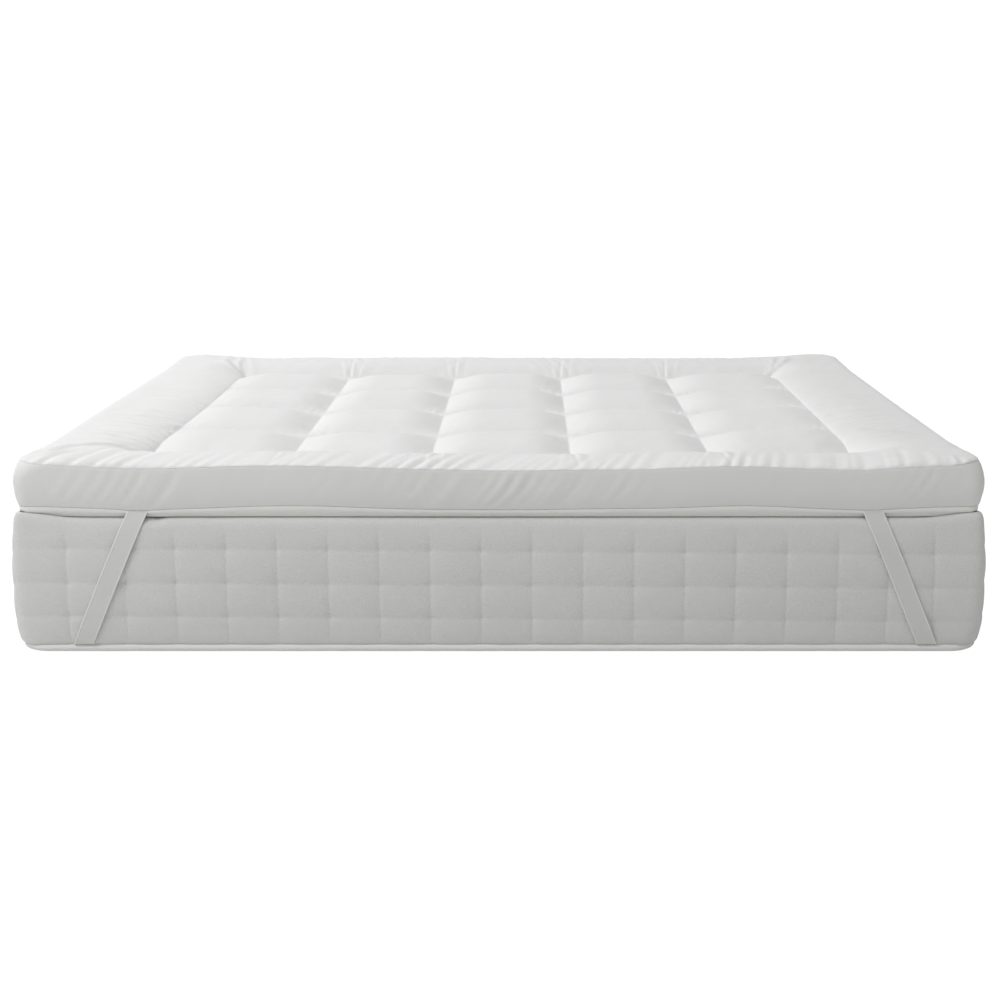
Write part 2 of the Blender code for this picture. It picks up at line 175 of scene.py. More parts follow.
# Creases on the top, in metres: start x y, end x y, bow, width, depth.
CREASES = (
    (-0.800, -0.545, -0.962, -0.662, -0.022, 0.0048, 0.0095),
    (-0.768, -0.530, -0.860, -0.500, 0.006, 0.0050, 0.0026),
    (-0.764, -0.262, -0.885, -0.200, 0.005, 0.0045, 0.0010),
    (-0.762, 0.010, -0.915, 0.064, 0.006, 0.0042, 0.0040),
    (-0.755, 0.560, -0.827, 0.736, 0.030, 0.0050, 0.0026),
    (-0.762, 0.560, -0.790, 0.740, 0.012, 0.0045, 0.0022),
    (0.755, 0.560, 0.852, 0.736, -0.025, 0.0055, 0.0030),
    (0.765, 0.560, 0.810, 0.740, -0.010, 0.0050, 0.0022),
    (0.770, -0.364, 0.968, -0.436, 0.010, 0.0060, 0.0024),
    (-0.974, -0.694, -0.889, -0.646, 0.008, 0.0080, 0.0040),
    (-0.940, -0.740, -0.850, -0.650, 0.006, 0.0080, 0.0036),
)


# ---- numbers
def eased(count, pull):
    """Shares from 0 to 1 that crowd both ends: an even count less a sine of its own period."""
    t = np.linspace(0.0, 1.0, count + 1)
    return t - pull * np.sin(2 * np.pi * t) / (2 * np.pi)


def smooth_step(t):
    """0 below 0, 1 above 1, and a smooth rise between: 3 t squared less 2 t cubed."""
    t = np.clip(t, 0.0, 1.0)
    return t * t * (3 - 2 * t)


def rolling(x, y, seed, shortest, longest, count=24, around=None):
    """Smooth uneven heights of about -1 to 1 over a plane: sines of seeded lengths in seeded directions.

    Without y they run along x, with a whole number of each sine to a full round if one is given.
    """
    draw = np.random.default_rng(seed)
    lengths = shortest * (longest / shortest) ** draw.random(count)
    if around:
        lengths = around / np.round(around / lengths)
    ways = np.zeros(count) if y is None else draw.random(count) * 2 * np.pi
    starts = draw.random(count) * 2 * np.pi
    weights = np.sqrt(lengths / longest)
    second = 0.0 if y is None else y
    total = sum(w * np.sin(2 * np.pi * (x * math.cos(way) + second * math.sin(way)) / length + start)
                for w, length, way, start in zip(weights, lengths, ways, starts))
    return total / math.sqrt(1.6 * float(np.sum(weights ** 2)))


def wander(t, seed, shortest, longest, around=None):
    """A smooth uneven line of about -1 to 1."""
    return rolling(t, None, seed, shortest, longest, 20, around)


def along_path(table, count):
    """A smooth path through a table's points: cubic pieces over its length, tangents from neighbours."""
    steps = np.linalg.norm(np.diff(table, axis=0), axis=1)
    length = np.concatenate([[0.0], np.cumsum(steps)])
    tangents = np.gradient(table, length, axis=0)
    at = np.linspace(0.0, length[-1], count)
    piece = np.clip(np.searchsorted(length, at, side="right") - 1, 0, len(steps) - 1)
    h = steps[piece][:, None]
    t = ((at - length[piece]) / steps[piece])[:, None]
    return (table[piece] * (2 * t ** 3 - 3 * t ** 2 + 1) + tangents[piece] * h * (t ** 3 - 2 * t ** 2 + t)
            + table[piece + 1] * (3 * t ** 2 - 2 * t ** 3) + tangents[piece + 1] * h * (t ** 3 - t ** 2))


def near(value, middle, spread):
    """A bell of 1 around a place."""
    return np.exp(-((value - middle) / spread) ** 2)


def bells(value, table):
    """The sum of a table's bells."""
    return sum(height * near(value, middle, spread) for height, middle, spread in table)


# ---- outline of the bed
def bent(x, y, outline):
    """Square corners become quarter circles: the larger coordinate is the radius, their ratio the angle."""
    half_x, half_y, radius = outline
    toward_x = 1 - (half_x - np.abs(x)) / radius
    toward_y = 1 - (half_y - np.abs(y)) / radius
    corner = (toward_x > 0) & (toward_y > 0)
    reach = np.where(corner, np.maximum(toward_x, toward_y), 1.0)
    angle = np.pi / 4 * np.where(corner, np.minimum(toward_x, toward_y), 0.0) / reach
    angle = np.where(toward_y > toward_x, np.pi / 2 - angle, angle)
    out_x = half_x - radius + radius * reach * np.cos(angle)
    out_y = half_y - radius + radius * reach * np.sin(angle)
    return np.where(corner, np.copysign(out_x, x), x), np.where(corner, np.copysign(out_y, y), y)


def moved_in(distance, inset, outermost):
    """Slide lines near the edge, so that the outermost one lies at the inset and BORDER stays."""
    slid = inset + (distance - outermost) * (BORDER - inset) / (BORDER - outermost)
    return np.where(distance >= BORDER, distance, slid)


def on_outline(x, y, inset, outline, outermost=0.0):
    """Stations of the sharp outline, on the rounded one that lies inset from the widest."""
    half_x, half_y, _ = outline
    slid_x = np.copysign(half_x - moved_in(half_x - np.abs(x), inset, outermost), x)
    slid_y = np.copysign(half_y - moved_in(half_y - np.abs(y), inset, outermost), y)
    return bent(slid_x, slid_y, outline)


def around(lines_x, lines_y):
    """Stations around the sharp outline, counter-clockwise seen from above, from the front left corner."""
    x = np.concatenate([lines_x[:-1], np.full(len(lines_y) - 1, lines_x[-1]),
                        lines_x[:0:-1], np.full(len(lines_y) - 1, lines_x[0])])
    y = np.concatenate([np.full(len(lines_x) - 1, lines_y[0]), lines_y[:-1],
                        np.full(len(lines_x) - 1, lines_y[-1]), lines_y[:0:-1]])
    return x, y


def even_lines(half, step):
    count = 2 * round(half / step)
    return np.linspace(-half, half, count + 1)


def walked(x, y):
    """Length walked to each station of a closed loop, and the whole round."""
    steps = np.hypot(np.roll(x, -1) - x, np.roll(y, -1) - y)
    return np.concatenate([[0.0], np.cumsum(steps)[:-1]]), float(steps.sum())


def corner_lift(x, y):
    """1 at a corner of the bed, falling smoothly to 0 along both sides."""
    along = np.maximum(TOPPER_X - np.abs(x), TOPPER_Y - np.abs(y))
    return smooth_step(1 - along / LIFT_REACH)


def strap_dip(x, y):
    """How much the straps draw down the cloth: a bell of 45 mm over each strap's start on both sides."""
    dip = np.zeros_like(x)
    for _, end, side, start, _ in STRAPS:
        strength = 1.0 if end < 0 else 0.75
        across = np.hypot(x - end * (HALF_X - start), y - side * TOPPER_Y)
        beside = np.hypot(x - end * TOPPER_X, y - side * (HALF_Y - start))
        dip += strength * (near(across, 0.0, 0.045) + near(beside, 0.0, 0.045))
    return dip


def band_foot(x, y):
    """Height of the lower seam: the front stands up in long waves, and each strap draws it down."""
    front = near(y, -TOPPER_Y, 0.15)
    behind = 0.0025 * (1 - front) * (1 + np.sin(5.3 * x + 3.1 * y))
    lifted = BAND_FOOT + BAND_FOOT_LIFT * corner_lift(x, y)
    return lifted + front * bells(x, FOOT_WAVES) + behind - STRAP_DRAW * strap_dip(x, y)


def back_drop(y):
    """How much lower the back border lies, growing from its seam to its edge."""
    return BACK_DROP * np.clip((y - PANEL_Y) / BORDER, 0.0, 1.0)


def rim_wave(x, y):
    """How far the upper seam leaves its even height: two long waves in front, gentle ones elsewhere."""
    front = near(y, -TOPPER_Y, 0.20)
    return front * bells(x, RIM_WAVES) + 0.0012 * (1 - front) * np.sin(4.7 * x + 3.7 * y)


def band_top(x, y):
    return BAND_TOP + BAND_TOP_LIFT * corner_lift(x, y) - back_drop(y) + rim_wave(x, y)


def band_inset(share):
    """Two power curves that meet at the widest line."""
    below = BAND_FOOT_INSET * np.maximum(0.0, 1 - share / BAND_BULGE_AT) ** BULGE_POWER
    above = EDGE_INSET * np.maximum(0.0, (share - BAND_BULGE_AT) / (1 - BAND_BULGE_AT)) ** BULGE_POWER
    return below + above


def band_outline(share):
    """The band's outline at a share of its height: rounder corners toward the upper seam."""
    above = max(0.0, (share - BAND_BULGE_AT) / (1 - BAND_BULGE_AT))
    return TOPPER_X, TOPPER_Y, TOPPER[2] + (TOPPER_RIM[2] - TOPPER[2]) * above ** 2


def mattress_outline(height):
    """The mattress's outline at a height: rounder corners toward the floor."""
    share = float(smooth_step((height - REBATE_HEIGHT) / (FOOT_TURN - REBATE_HEIGHT)))
    return HALF_X, HALF_Y, MATTRESS_FOOT[2] + (MATTRESS[2] - MATTRESS_FOOT[2]) * share


def ring(x, y, outline, height, inset=0.0, pull=0.0, outermost=0.0):
    """Points of an outline that lies inset from the widest, at a height, and drawn in by pull across it."""
    step = 0.004
    ring_x, ring_y = on_outline(x, y, inset, outline, outermost)
    in_x, in_y = on_outline(x, y, inset + step, outline, outermost)
    return np.stack([ring_x + pull * (in_x - ring_x) / step, ring_y + pull * (in_y - ring_y) / step,
                     np.broadcast_to(height, ring_x.shape)], axis=1)


# ---- meshes
def loop_faces(count, rings):
    """Quads between closed rings of the same count, lowest ring first, facing out."""
    low = (np.arange(rings - 1)[:, None] * count + np.arange(count)[None, :]).ravel()
    following = (np.arange(rings - 1)[:, None] * count + (np.arange(count)[None, :] + 1) % count).ravel()
    return np.stack([low, following, following + count, low + count], axis=1)


def grid_faces(columns, rows, first=0):
    """Quads of a grid whose points run along X first, facing up."""
    low = (np.arange(rows - 1)[:, None] * columns + np.arange(columns - 1)[None, :]).ravel() + first
    return np.stack([low, low + 1, low + 1 + columns, low + columns], axis=1)


def make_piece(name, points, quads, caps=(), cloth=None, **attributes):
    """A mesh object from points, quads and a few many-sided caps.

    For each point, cloth is a UV in metres, and each attribute is a number that the material reads.
    """
    faces = quads.tolist() + [list(map(int, cap)) for cap in caps]
    mesh = bpy.data.meshes.new(name)
    mesh.from_pydata(points.tolist(), [], faces)
    mesh.shade_smooth()
    mesh.set_sharp_from_angle(angle=math.radians(60))
    if cloth is not None:
        layer = mesh.uv_layers.new(name="cloth")
        corners = np.empty(len(mesh.loops), dtype=np.int32)
        mesh.loops.foreach_get("vertex_index", corners)
        layer.data.foreach_set("uv", cloth[corners].astype(np.float32).ravel())
    for label, values in attributes.items():
        mesh.attributes.new(label, "FLOAT", "POINT").data.foreach_set("value", values.astype(np.float32))
    thing = bpy.data.objects.new(name, mesh)
    bpy.context.scene.collection.objects.link(thing)
    return thing


def grid_normals(points):
    """Unit normals of a grid of points, rows first: the cross product of its two central differences."""
    along = np.gradient(points, axis=1)
    across = np.gradient(points, axis=0)
    normal = np.cross(along, across)
    return normal / np.maximum(np.linalg.norm(normal, axis=2, keepdims=True), 1e-12)


def thicken(thing, thickness, outward=False):
    shell = thing.modifiers.new("cloth", "SOLIDIFY")
    shell.thickness = thickness
    shell.offset = 1.0 if outward else -1.0
    shell.use_even_offset = True


def settle(thing, nodes, slot, context, material=None):
    """Give a finished piece its cloth, a new one or one that it shares, and let it stand for its solids."""
    thing.data.materials.append(material or cloth_material(slot, context.scene.topper_colours))
    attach(thing, "root")
    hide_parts(*nodes)


# ---- the quilted pad
def roll_profile():
    """Inset and rise of the cloth over the rim: its slope turns by ROLL_TURN, dying out over ROLL_LENGTH."""
    s = np.linspace(0.0, 0.12, 1201)
    angle = np.pi - ROLL_TURN * np.exp(-s / ROLL_LENGTH)
    step = s[1] - s[0]
    inset = np.concatenate([[0.0], np.cumsum(-(np.cos(angle[1:]) + np.cos(angle[:-1])) / 2 * step)])
    rise = np.concatenate([[0.0], np.cumsum((np.sin(angle[1:]) + np.sin(angle[:-1])) / 2 * step)])
    return s, inset + EDGE_INSET + RIM_TUCK, rise / rise[-1]


def top_lines(half, panel, pillows, border_steps, pillow_steps):
    """Lines across the pad: their cloth distance from the near rim, inset and share of the rim's rise."""
    s, inset, rise = roll_profile()
    lost = s[-1] - inset[-1]
    reach = BORDER + lost
    border = reach * eased(border_steps, 0.55)
    border_inset = np.where(border < s[-1], np.interp(border, s, inset), border - lost)
    border_inset[-1] = BORDER
    border_rise = np.interp(border, s, rise)
    pillow = 2 * panel / pillows
    inner = (np.arange(pillows)[:, None] * pillow + pillow * eased(pillow_steps, 0.5)[None, 1:]).ravel()
    place = np.concatenate([border_inset - half, -panel + inner, half - border_inset[-2::-1]])
    share = np.concatenate([border_rise, np.ones(len(inner)), border_rise[-2::-1]])
    cloth = np.concatenate([border - reach - panel, -panel + inner, panel + reach - border[-2::-1]])
    return place, share, cloth


def seam_distance(position, panel, pillows):
    """How far places across the panel lie from the nearest sewn seam."""
    cell = 2 * panel / pillows
    inside = (position + panel) % cell
    return np.minimum(inside, cell - inside)


def seam_height(x, y):
    """Bottom of the sewn channels: higher along the panel's two ends, but not at its corners."""
    pillow_x = 2 * PANEL_X / COLUMNS
    half_pillow_y = PANEL_Y / ROWS
    rise = smooth_step((np.abs(x) - PANEL_X + pillow_x) / pillow_x)
    fade = smooth_step((np.abs(y) - PANEL_Y + half_pillow_y) / half_pillow_y)
    return SEAM_HEIGHT + SEAM_RISE * rise * (1 - SEAM_FADE * fade)


def sunk(distance, slope):
    """1 at a seam, falling to 0 at the slope's width from it, as a parabola."""
    return (1 - np.minimum(distance / slope, 1)) ** 2


def top_surface(x, y, share_x, share_y):
    """Height of the quilted top: round pillows on a sunken panel, in a border that rolls over its rim."""
    beyond_x = np.abs(x) - PANEL_X
    beyond_y = np.abs(y) - PANEL_Y
    inside = np.maximum(beyond_x, beyond_y) < 0
    low = seam_height(x, y)
    across = 1 - sunk(seam_distance(x, PANEL_X, COLUMNS), PILLOW_SLOPE)
    along = 1 - sunk(seam_distance(y, PANEL_Y, ROWS), PILLOW_SLOPE)
    uneven = 0.0016 * (np.sin(5.1 * x + 1.3) + np.sin(6.7 * y - 2.9 * x))
    pillows = low + (PILLOW_CROWN + PILLOW_RISE * (low - SEAM_HEIGHT) + uneven - low) * across * along
    crown = CROWN + CROWN_LIFT * corner_lift(x, y) - back_drop(y) + 0.0010 * rolling(x, y, 11, 0.14, 0.5)
    crown = crown + rim_wave(x, y) + near(y, -TOPPER_Y, 0.20) * bells(x, CORNER_SWELLS)
    rim = band_top(x, y) + GAP
    rolled = rim + (crown - rim) * np.minimum(share_x, share_y)
    steep = np.minimum(np.maximum(0.0, beyond_x) / END_SLOPE, 1.0) ** 0.8
    reach = np.hypot(steep, np.maximum(0.0, beyond_y) / CHANNEL_SLOPE)
    border = rolled - (crown - low) * sunk(reach, 1.0)
    return np.where(inside, pillows, border)


SIMULATED_CLOTH = {"quality": 6, "mass": 0.25, "tension_stiffness": 25, "compression_stiffness": 25,
                   "shear_stiffness": 12, "bending_stiffness": 1.5, "air_damping": 3, "pin_stiffness": 1,
                   "vertex_group_mass": "seams", "use_pressure": True}
SIMULATED_FRAMES = 20
SMOOTHING_ROUNDS = 24


def puffed(points, pinned, sizes):
    """Cloth simulation of the top: held at its seams, cut a little too large, and blown up from below.

    Returns the broad changes of how far each point moved, at most most_puff.
    """
    rows, columns = points.shape[:2]
    work = make_piece("top_at_work", points.reshape(-1, 3), grid_faces(columns, rows))
    group = work.vertex_groups.new(name="seams")
    group.add(np.flatnonzero(pinned.ravel()).tolist(), 1.0, "REPLACE")
    cloth = work.modifiers.new("cloth", "CLOTH")
    for label, value in SIMULATED_CLOTH.items():
        setattr(cloth.settings, label, value)
    cloth.settings.shrink_min = -sizes.cloth_to_spare
    cloth.settings.uniform_pressure_force = sizes.filling_pressure
    cloth.settings.effector_weights.gravity = 0
    cloth.point_cache.frame_start = 1
    cloth.point_cache.frame_end = SIMULATED_FRAMES
    scene = bpy.context.scene
    for number in range(1, SIMULATED_FRAMES + 1):
        scene.frame_set(number)
    evaluated = work.evaluated_get(bpy.context.evaluated_depsgraph_get())
    moved = np.empty(len(evaluated.data.vertices) * 3, dtype=np.float32)
    evaluated.data.vertices.foreach_get("co", moved)
    scene.frame_set(1)
    mesh = work.data
    bpy.data.objects.remove(work)
    bpy.data.meshes.remove(mesh)
    shift = moved.reshape(rows, columns, 3).astype(float) - points
    if not np.isfinite(shift).all():
        raise RuntimeError("the cloth simulation of the top did not settle")
    far = np.linalg.norm(shift, axis=2, keepdims=True)
    most = sizes.most_puff
    return eased_out(shift * (most * np.tanh(far / most) / np.maximum(far, 1e-9)), SMOOTHING_ROUNDS)


def eased_out(values, rounds):
    """Broad changes only: many times, each inner line becomes half itself and a quarter of each neighbour."""
    for _ in range(rounds):
        for axis in (0, 1):
            v = np.moveaxis(values, axis, 0)
            middle = (v[:-2] + 2 * v[1:-1] + v[2:]) / 4
            values = np.moveaxis(np.concatenate([v[:1], middle, v[-1:]]), 0, axis)
    return values


def between(values, axis):
    """Twice as many intervals along an axis: the new values are midpoints by weights -1, 9, 9, -1 over 16."""
    v = np.moveaxis(values, axis, 0)
    before = np.concatenate([v[:1], v[:-2]])
    after = np.concatenate([v[2:], v[-1:]])
    middle = (9 * (v[:-1] + v[1:]) - before - after) / 16
    out = np.empty((2 * len(v) - 1, *v.shape[1:]))
    out[::2] = v
    out[1::2] = middle
    return np.moveaxis(out, 0, axis)


def gathers(along, inward, spacing, reach, seed, lean=0.0):
    """Round ridges that start at a seam and die out: a softened absolute sine of an uneven phase."""
    t = along + lean * inward
    phase = t / spacing + 0.6 * wander(t, seed, 3 * spacing, 10 * spacing)
    ridge = np.sqrt(np.sin(np.pi * phase) ** 2 + 0.04) - 0.66
    strength = np.clip(0.85 + 0.5 * wander(t, seed + 1, 4 * spacing, 16 * spacing), 0.25, 1.5)
    far = reach * (1 + 0.35 * wander(t, seed + 2, 2 * spacing, 7 * spacing))
    return ridge * strength * np.exp(-(inward / np.maximum(far, 0.3 * reach)) ** 1.6)


def crease(x, y, start_x, start_y, end_x, end_y, bow, width, depth):
    """A trough along a chord bowed sideways as a parabola: gentle on one side, a ridge on the other."""
    chord = math.hypot(end_x - start_x, end_y - start_y)
    way_x, way_y = (end_x - start_x) / chord, (end_y - start_y) / chord
    t = ((x - start_x) * way_x + (y - start_y) * way_y) / chord
    off = (y - start_y) * way_x - (x - start_x) * way_y - 4 * bow * t * (1 - t)
    ends = np.sin(np.pi * np.clip(t, 0.0, 1.0)) ** 0.7
    spread = width * (1 + 0.7 * np.clip(t, 0.0, 1.0))
    side = np.where(off < 0, 2.4 * spread, spread)
    return depth * ends * (0.75 * near(off, 1.9 * spread, 1.5 * spread) - near(off, 0.0, side))


def front_gathers(x, edge, seed):
    """Gathers along a long side: folds from the band's seam up to the crest, stronger at some places."""
    lean = -0.22 - 0.12 * near(x, 0.0, 0.3) + 0.08 * near(x, 0.8, 0.3)
    broad = EVEN_GATHERS + bells(x, STRONGER_GATHERS)
    large = 0.0030 * gathers(x, edge, 0.043, 0.170, seed, lean)
    return broad * (large + 0.0021 * gathers(x, edge, 0.028, 0.120, seed + 5, 1.2 * lean))


def end_wrinkles(y, edge, middle, seed):
    """Fine lines across an end border, in a patch of their own."""
    inward = np.maximum(BORDER - edge, 0.0)
    t = y + 0.06 * inward + 0.006 * wander(edge, seed + 3, 0.08, 0.3)
    lines = gathers(t, 0 * edge, 0.036, 1.0, seed) + 0.5 * gathers(t, 0 * edge, 0.058, 1.0, seed + 6)
    stop = 0.13 + 0.05 * wander(y, seed + 7, 0.05, 0.2)
    return 0.0034 * lines * near(y, middle, 0.25) * (1 - smooth_step((inward - stop) / 0.09))


def fine_lines(x, y):
    """Where the end borders show fine drawn lines, too small for the mesh, with painted shade along them: a
    patch beside each end's seam.
    """
    inward = np.abs(x) - PANEL_X
    patch = np.where(x < 0, 1.1 * near(y, -0.36, 0.20), 0.6 * near(y, -0.22, 0.24))
    return (0.12 + patch) * smooth_step((inward + 0.005) / 0.02) * (1 - smooth_step((inward - 0.10) / 0.10))


def seam_fans(x, inward):
    """Where a column seam meets the border: three troughs with a ridge beside each, opening outward."""
    out = np.zeros_like(x)
    for number in range(1, COLUMNS):
        middle = -PANEL_X + number * 2 * PANEL_X / COLUMNS
        for shift, tilt, depth in ((0.0, 0.02, 1.0), (-0.020, -0.12, 0.6), (0.024, 0.10, 0.5)):
            away = x - middle - shift - (tilt + 0.05 * math.sin(5.0 * number + 40 * shift)) * inward
            spread = 0.0040 + 0.009 * inward
            out += depth * (0.7 * near(away, 1.9 * spread, 1.4 * spread) - near(away, 0.0, spread))
    return out * near(inward, 0.0, 0.17)


def panel_puckers(x, y):
    """Small gathers beside the pillows' seams, fading from each seam and stronger at the crossings."""
    to_column = seam_distance(x, PANEL_X, COLUMNS)
    to_row = seam_distance(y, PANEL_Y, ROWS)
    crossing = near(np.hypot(to_column, 0.6 * to_row), 0.0, 0.060)
    out = (0.0008 + 0.0012 * crossing) * gathers(y + 0.35 * x, to_column, 0.024, 0.042, 61, 0.0)
    out += (0.0007 + 0.0010 * crossing) * gathers(x - 0.2 * y, to_row, 0.026, 0.034, 71, 0.0)
    return out * (1 - near(np.minimum(to_column, to_row), 0.0, 0.005))


def top_wrinkles(x, y, share):
    """How far the top cloth stands out of its smooth form, along its normal."""
    out = np.zeros_like(x)
    edge_x = TOPPER_X - np.abs(x)
    edge_y = TOPPER_Y - np.abs(y)
    beyond = np.maximum(np.abs(x) - PANEL_X, np.abs(y) - PANEL_Y)
    in_border = smooth_step(beyond / 0.012)
    by_x = smooth_step((edge_x - edge_y + 0.03) / 0.06)      # 1 along the long sides
    inward = np.maximum(np.abs(y) - PANEL_Y, 0.0)
    for side, seed, strength, fans in ((-1, 21, 1.0, 0.0020), (1, 31, 0.6, 0.0012)):
        mine = np.where(np.sign(y) == side, by_x, 0.0)
        out += mine * strength * front_gathers(x, edge_y, seed)
        out += mine * 0.0008 * gathers(x, inward, 0.030, 0.040, seed + 8, -0.10)
        out += mine * fans * seam_fans(x, inward)
    for end, seed, strength, middle in ((-1, 41, 1.0, -0.33), (1, 51, 0.6, -0.20)):
        mine = np.where(np.sign(x) == end, 1 - by_x, 0.0)
        out += mine * 0.0010 * gathers(y, edge_x, 0.036, 0.060, seed, 0.1)
        out += mine * strength * end_wrinkles(y, edge_x, middle, seed + 5)
    out *= in_border
    in_panel = 1 - smooth_step((beyond + 0.004) / 0.004)
    out += in_panel * panel_puckers(x, y)
    for row in CREASES:
        out += crease(x, y, *row)
    out += 0.0004 * rolling(x, y, 81, 0.03, 0.12)
    return out * smooth_step(share / 0.6)


def sewn(count, border_steps, pillow_steps):
    """Which of every second line across the pad are sewn seams."""
    step = np.arange(count)[::2]
    on_panel = (step >= border_steps) & (step <= count - 1 - border_steps)
    return on_panel & ((step - border_steps) % pillow_steps == 0)


def make_pad(sizes):
    """The filled, quilted pad: its sewn top, its drawn-in sides behind the band, and its flat underside."""
    line_x, share_x, cloth_x = top_lines(TOPPER_X, PANEL_X, COLUMNS, BORDER_STEPS_X, PILLOW_STEPS_X)
    line_y, share_y, cloth_y = top_lines(TOPPER_Y, PANEL_Y, ROWS, BORDER_STEPS_Y, PILLOW_STEPS_Y)
    x, y = np.meshgrid(line_x, line_y)
    share_x, share_y = np.meshgrid(share_x, share_y)
    placed_x, placed_y = bent(x, y, TOPPER_RIM)
    placed_x = placed_x + SEAM_BOW * near(x, -PANEL_X, 0.12) * np.clip(1 - (y / PANEL_Y) ** 2, 0.0, 1.0)
    points = np.stack([placed_x, placed_y, top_surface(x, y, share_x, share_y)], axis=2)

    half_x, half_y = x[::2, ::2], y[::2, ::2]
    on_panel = (np.abs(half_x) < PANEL_X + 1e-4) & (np.abs(half_y) < PANEL_Y + 1e-4)
    pinned = on_panel & (sewn(len(line_x), BORDER_STEPS_X, PILLOW_STEPS_X)[None, :]
                         | sewn(len(line_y), BORDER_STEPS_Y, PILLOW_STEPS_Y)[:, None])
    pinned[[0, -1], :] = True
    pinned[:, [0, -1]] = True
    shift = puffed(points[::2, ::2], pinned, sizes)
    to_seam = np.minimum(seam_distance(half_x, PANEL_X, COLUMNS), seam_distance(half_y, PANEL_Y, ROWS))
    held = np.where(on_panel, near(to_seam, 0.0, 0.030), 0.0)
    shift *= (1 - held)[..., None]
    points = points + between(between(shift, 0), 1)

    out = top_wrinkles(x, y, np.minimum(share_x, share_y)) * sizes.wrinkles
    points = points + grid_normals(points) * out[..., None]

    rows, columns = x.shape
    number = np.arange(rows * columns).reshape(rows, columns)
    rim = np.concatenate([number[0, :-1], number[:-1, -1], number[-1, :0:-1], number[:0:-1, 0]])
    rim_x, rim_y = x.ravel()[rim], y.ravel()[rim]
    foot = band_foot(rim_x, rim_y) + GAP
    top = band_top(rim_x, rim_y)
    rings = [ring(rim_x, rim_y, outline, height, inset, outermost=EDGE_INSET + RIM_TUCK)
             for inset, outline, height in (
                 (0.0285, TOPPER_BASE, PAD_FLOOR),
                 (PAD_FOOT_INSET, TOPPER_BASE, PAD_FLOOR + 0.004),
                 (PAD_FOOT_INSET, TOPPER_BASE, foot),
                 (BAND_FOOT_INSET + PAD_SIDE_CLEARANCE, TOPPER, foot),
                 (band_inset(0.5) + PAD_SIDE_CLEARANCE, TOPPER, foot + 0.5 * (top - foot)),
                 (EDGE_INSET + PAD_SIDE_CLEARANCE, TOPPER_RIM, top - 0.004))]
    below = np.concatenate(rings)
    count, first_top = len(rim), len(below)
    last = (len(rings) - 1) * count + np.arange(count)
    joint = np.stack([last, np.roll(last, -1), np.roll(rim, -1) + first_top, rim + first_top], axis=1)
    quads = np.concatenate([loop_faces(count, len(rings)), joint, grid_faces(columns, rows, first_top)])
    flat_x, flat_y = np.meshgrid(cloth_x, cloth_y)
    cloth = np.concatenate([below[:, :2], np.stack([flat_x.ravel(), flat_y.ravel()], axis=1)])
    # Painted shade for the material: how much each point's colour is darkened in the creases, full at the
    # depth set above.
    crease_shade = sum(np.clip(-crease(x, y, *row) / FULL_CREASE_SHADE_DEPTH, 0.0, 1.0) for row in CREASES)
    drawn, deep = (np.concatenate([np.zeros(first_top), values.ravel()])
                   for values in (fine_lines(x, y), crease_shade))
    return make_piece("quilted_pad", np.concatenate([below, points.reshape(-1, 3)]), quads,
                      caps=[np.arange(count)[::-1]], cloth=cloth, drawn=drawn, deep=deep)


# ---- side band and bottom panel
def make_band(sizes):
    """The boxed side: a ring of cloth, drawn in at its two seams, with soft slanting undulations."""
    x, y = around(even_lines(TOPPER_X, BAND_STEP), even_lines(TOPPER_Y, BAND_STEP))
    ring_x, ring_y = on_outline(x, y, 0.0, TOPPER)
    walk, round_about = walked(ring_x, ring_y)
    share = np.concatenate([[0.0, 0.012, 0.03], 0.055 + 0.89 * eased(17, 0.35), [0.97, 0.988, 1.0]])
    tuck = 0.0012 * np.exp(-((1 - share) / 0.022) ** 1.3) + 0.0006 * np.exp(-(share / 0.03) ** 1.3)
    inset = band_inset(share) + tuck
    foot = band_foot(x, y)
    top = band_top(x, y)
    where = EVEN_UNDULATIONS + bells(x, STRONGER_UNDULATIONS)
    where = where + 0.3 * wander(walk, 103, 0.35, 1.2, round_about)
    rings = []
    for portion, drawn in zip(share, inset):
        slant = walk + 0.75 * (1 - portion) ** 1.5 * (BAND_TOP - BAND_FOOT)
        soft = 0.0009 * wander(slant, 101, 0.045, 0.11, round_about)
        soft += 0.0009 * wander(slant, 102, 0.022, 0.040, round_about)
        fade = math.sin(math.pi * portion) ** 0.5 * (0.45 + 0.75 * portion)
        pull = drawn - sizes.wrinkles * (soft * where - 0.0004) * fade
        rings.append(ring(x, y, band_outline(portion), foot + portion * (top - foot), pull=pull))
    cloth = np.stack([np.tile(walk, len(rings)), np.repeat(share * BAND_CLOTH_HEIGHT, len(x))], axis=1)
    band = make_piece("side_band", np.concatenate(rings), loop_faces(len(x), len(rings)), cloth=cloth)
    thicken(band, CLOTH)
    return band


def make_base_panel():
    """The cloth under the topper, with its edge turned up into a soft lip that stands a little unevenly."""
    x, y = around(even_lines(TOPPER_X, PANEL_STEP), even_lines(TOPPER_Y, PANEL_STEP))
    profile = along_path(LIP_PROFILE * (1.0, LIP_HEIGHT), LIP_ROWS)
    floor = MATTRESS_TOP + GAP
    walk, round_about = walked(*on_outline(x, y, 0.0, TOPPER_BASE))
    foot = band_foot(x, y)
    rings = []
    for inset, rise in profile:
        share = rise / LIP_HEIGHT
        uneven = 0.0005 * wander(walk, 111, 0.06, 0.4, round_about) * math.sin(math.pi * min(share, 1.0))
        rings.append(ring(x, y, TOPPER_BASE, floor + share * (foot - 2 * GAP - floor), inset, -uneven))
    count = len(x)
    points = np.concatenate(rings)
    cloth = points[:, :2] + np.repeat(profile[:, 1], count)[:, None]
    panel = make_piece("base_panel", points, loop_faces(count, len(rings)),
                       caps=[np.arange(count)[::-1]], cloth=cloth)
    thicken(panel, BASE_CLOTH)
    return panel


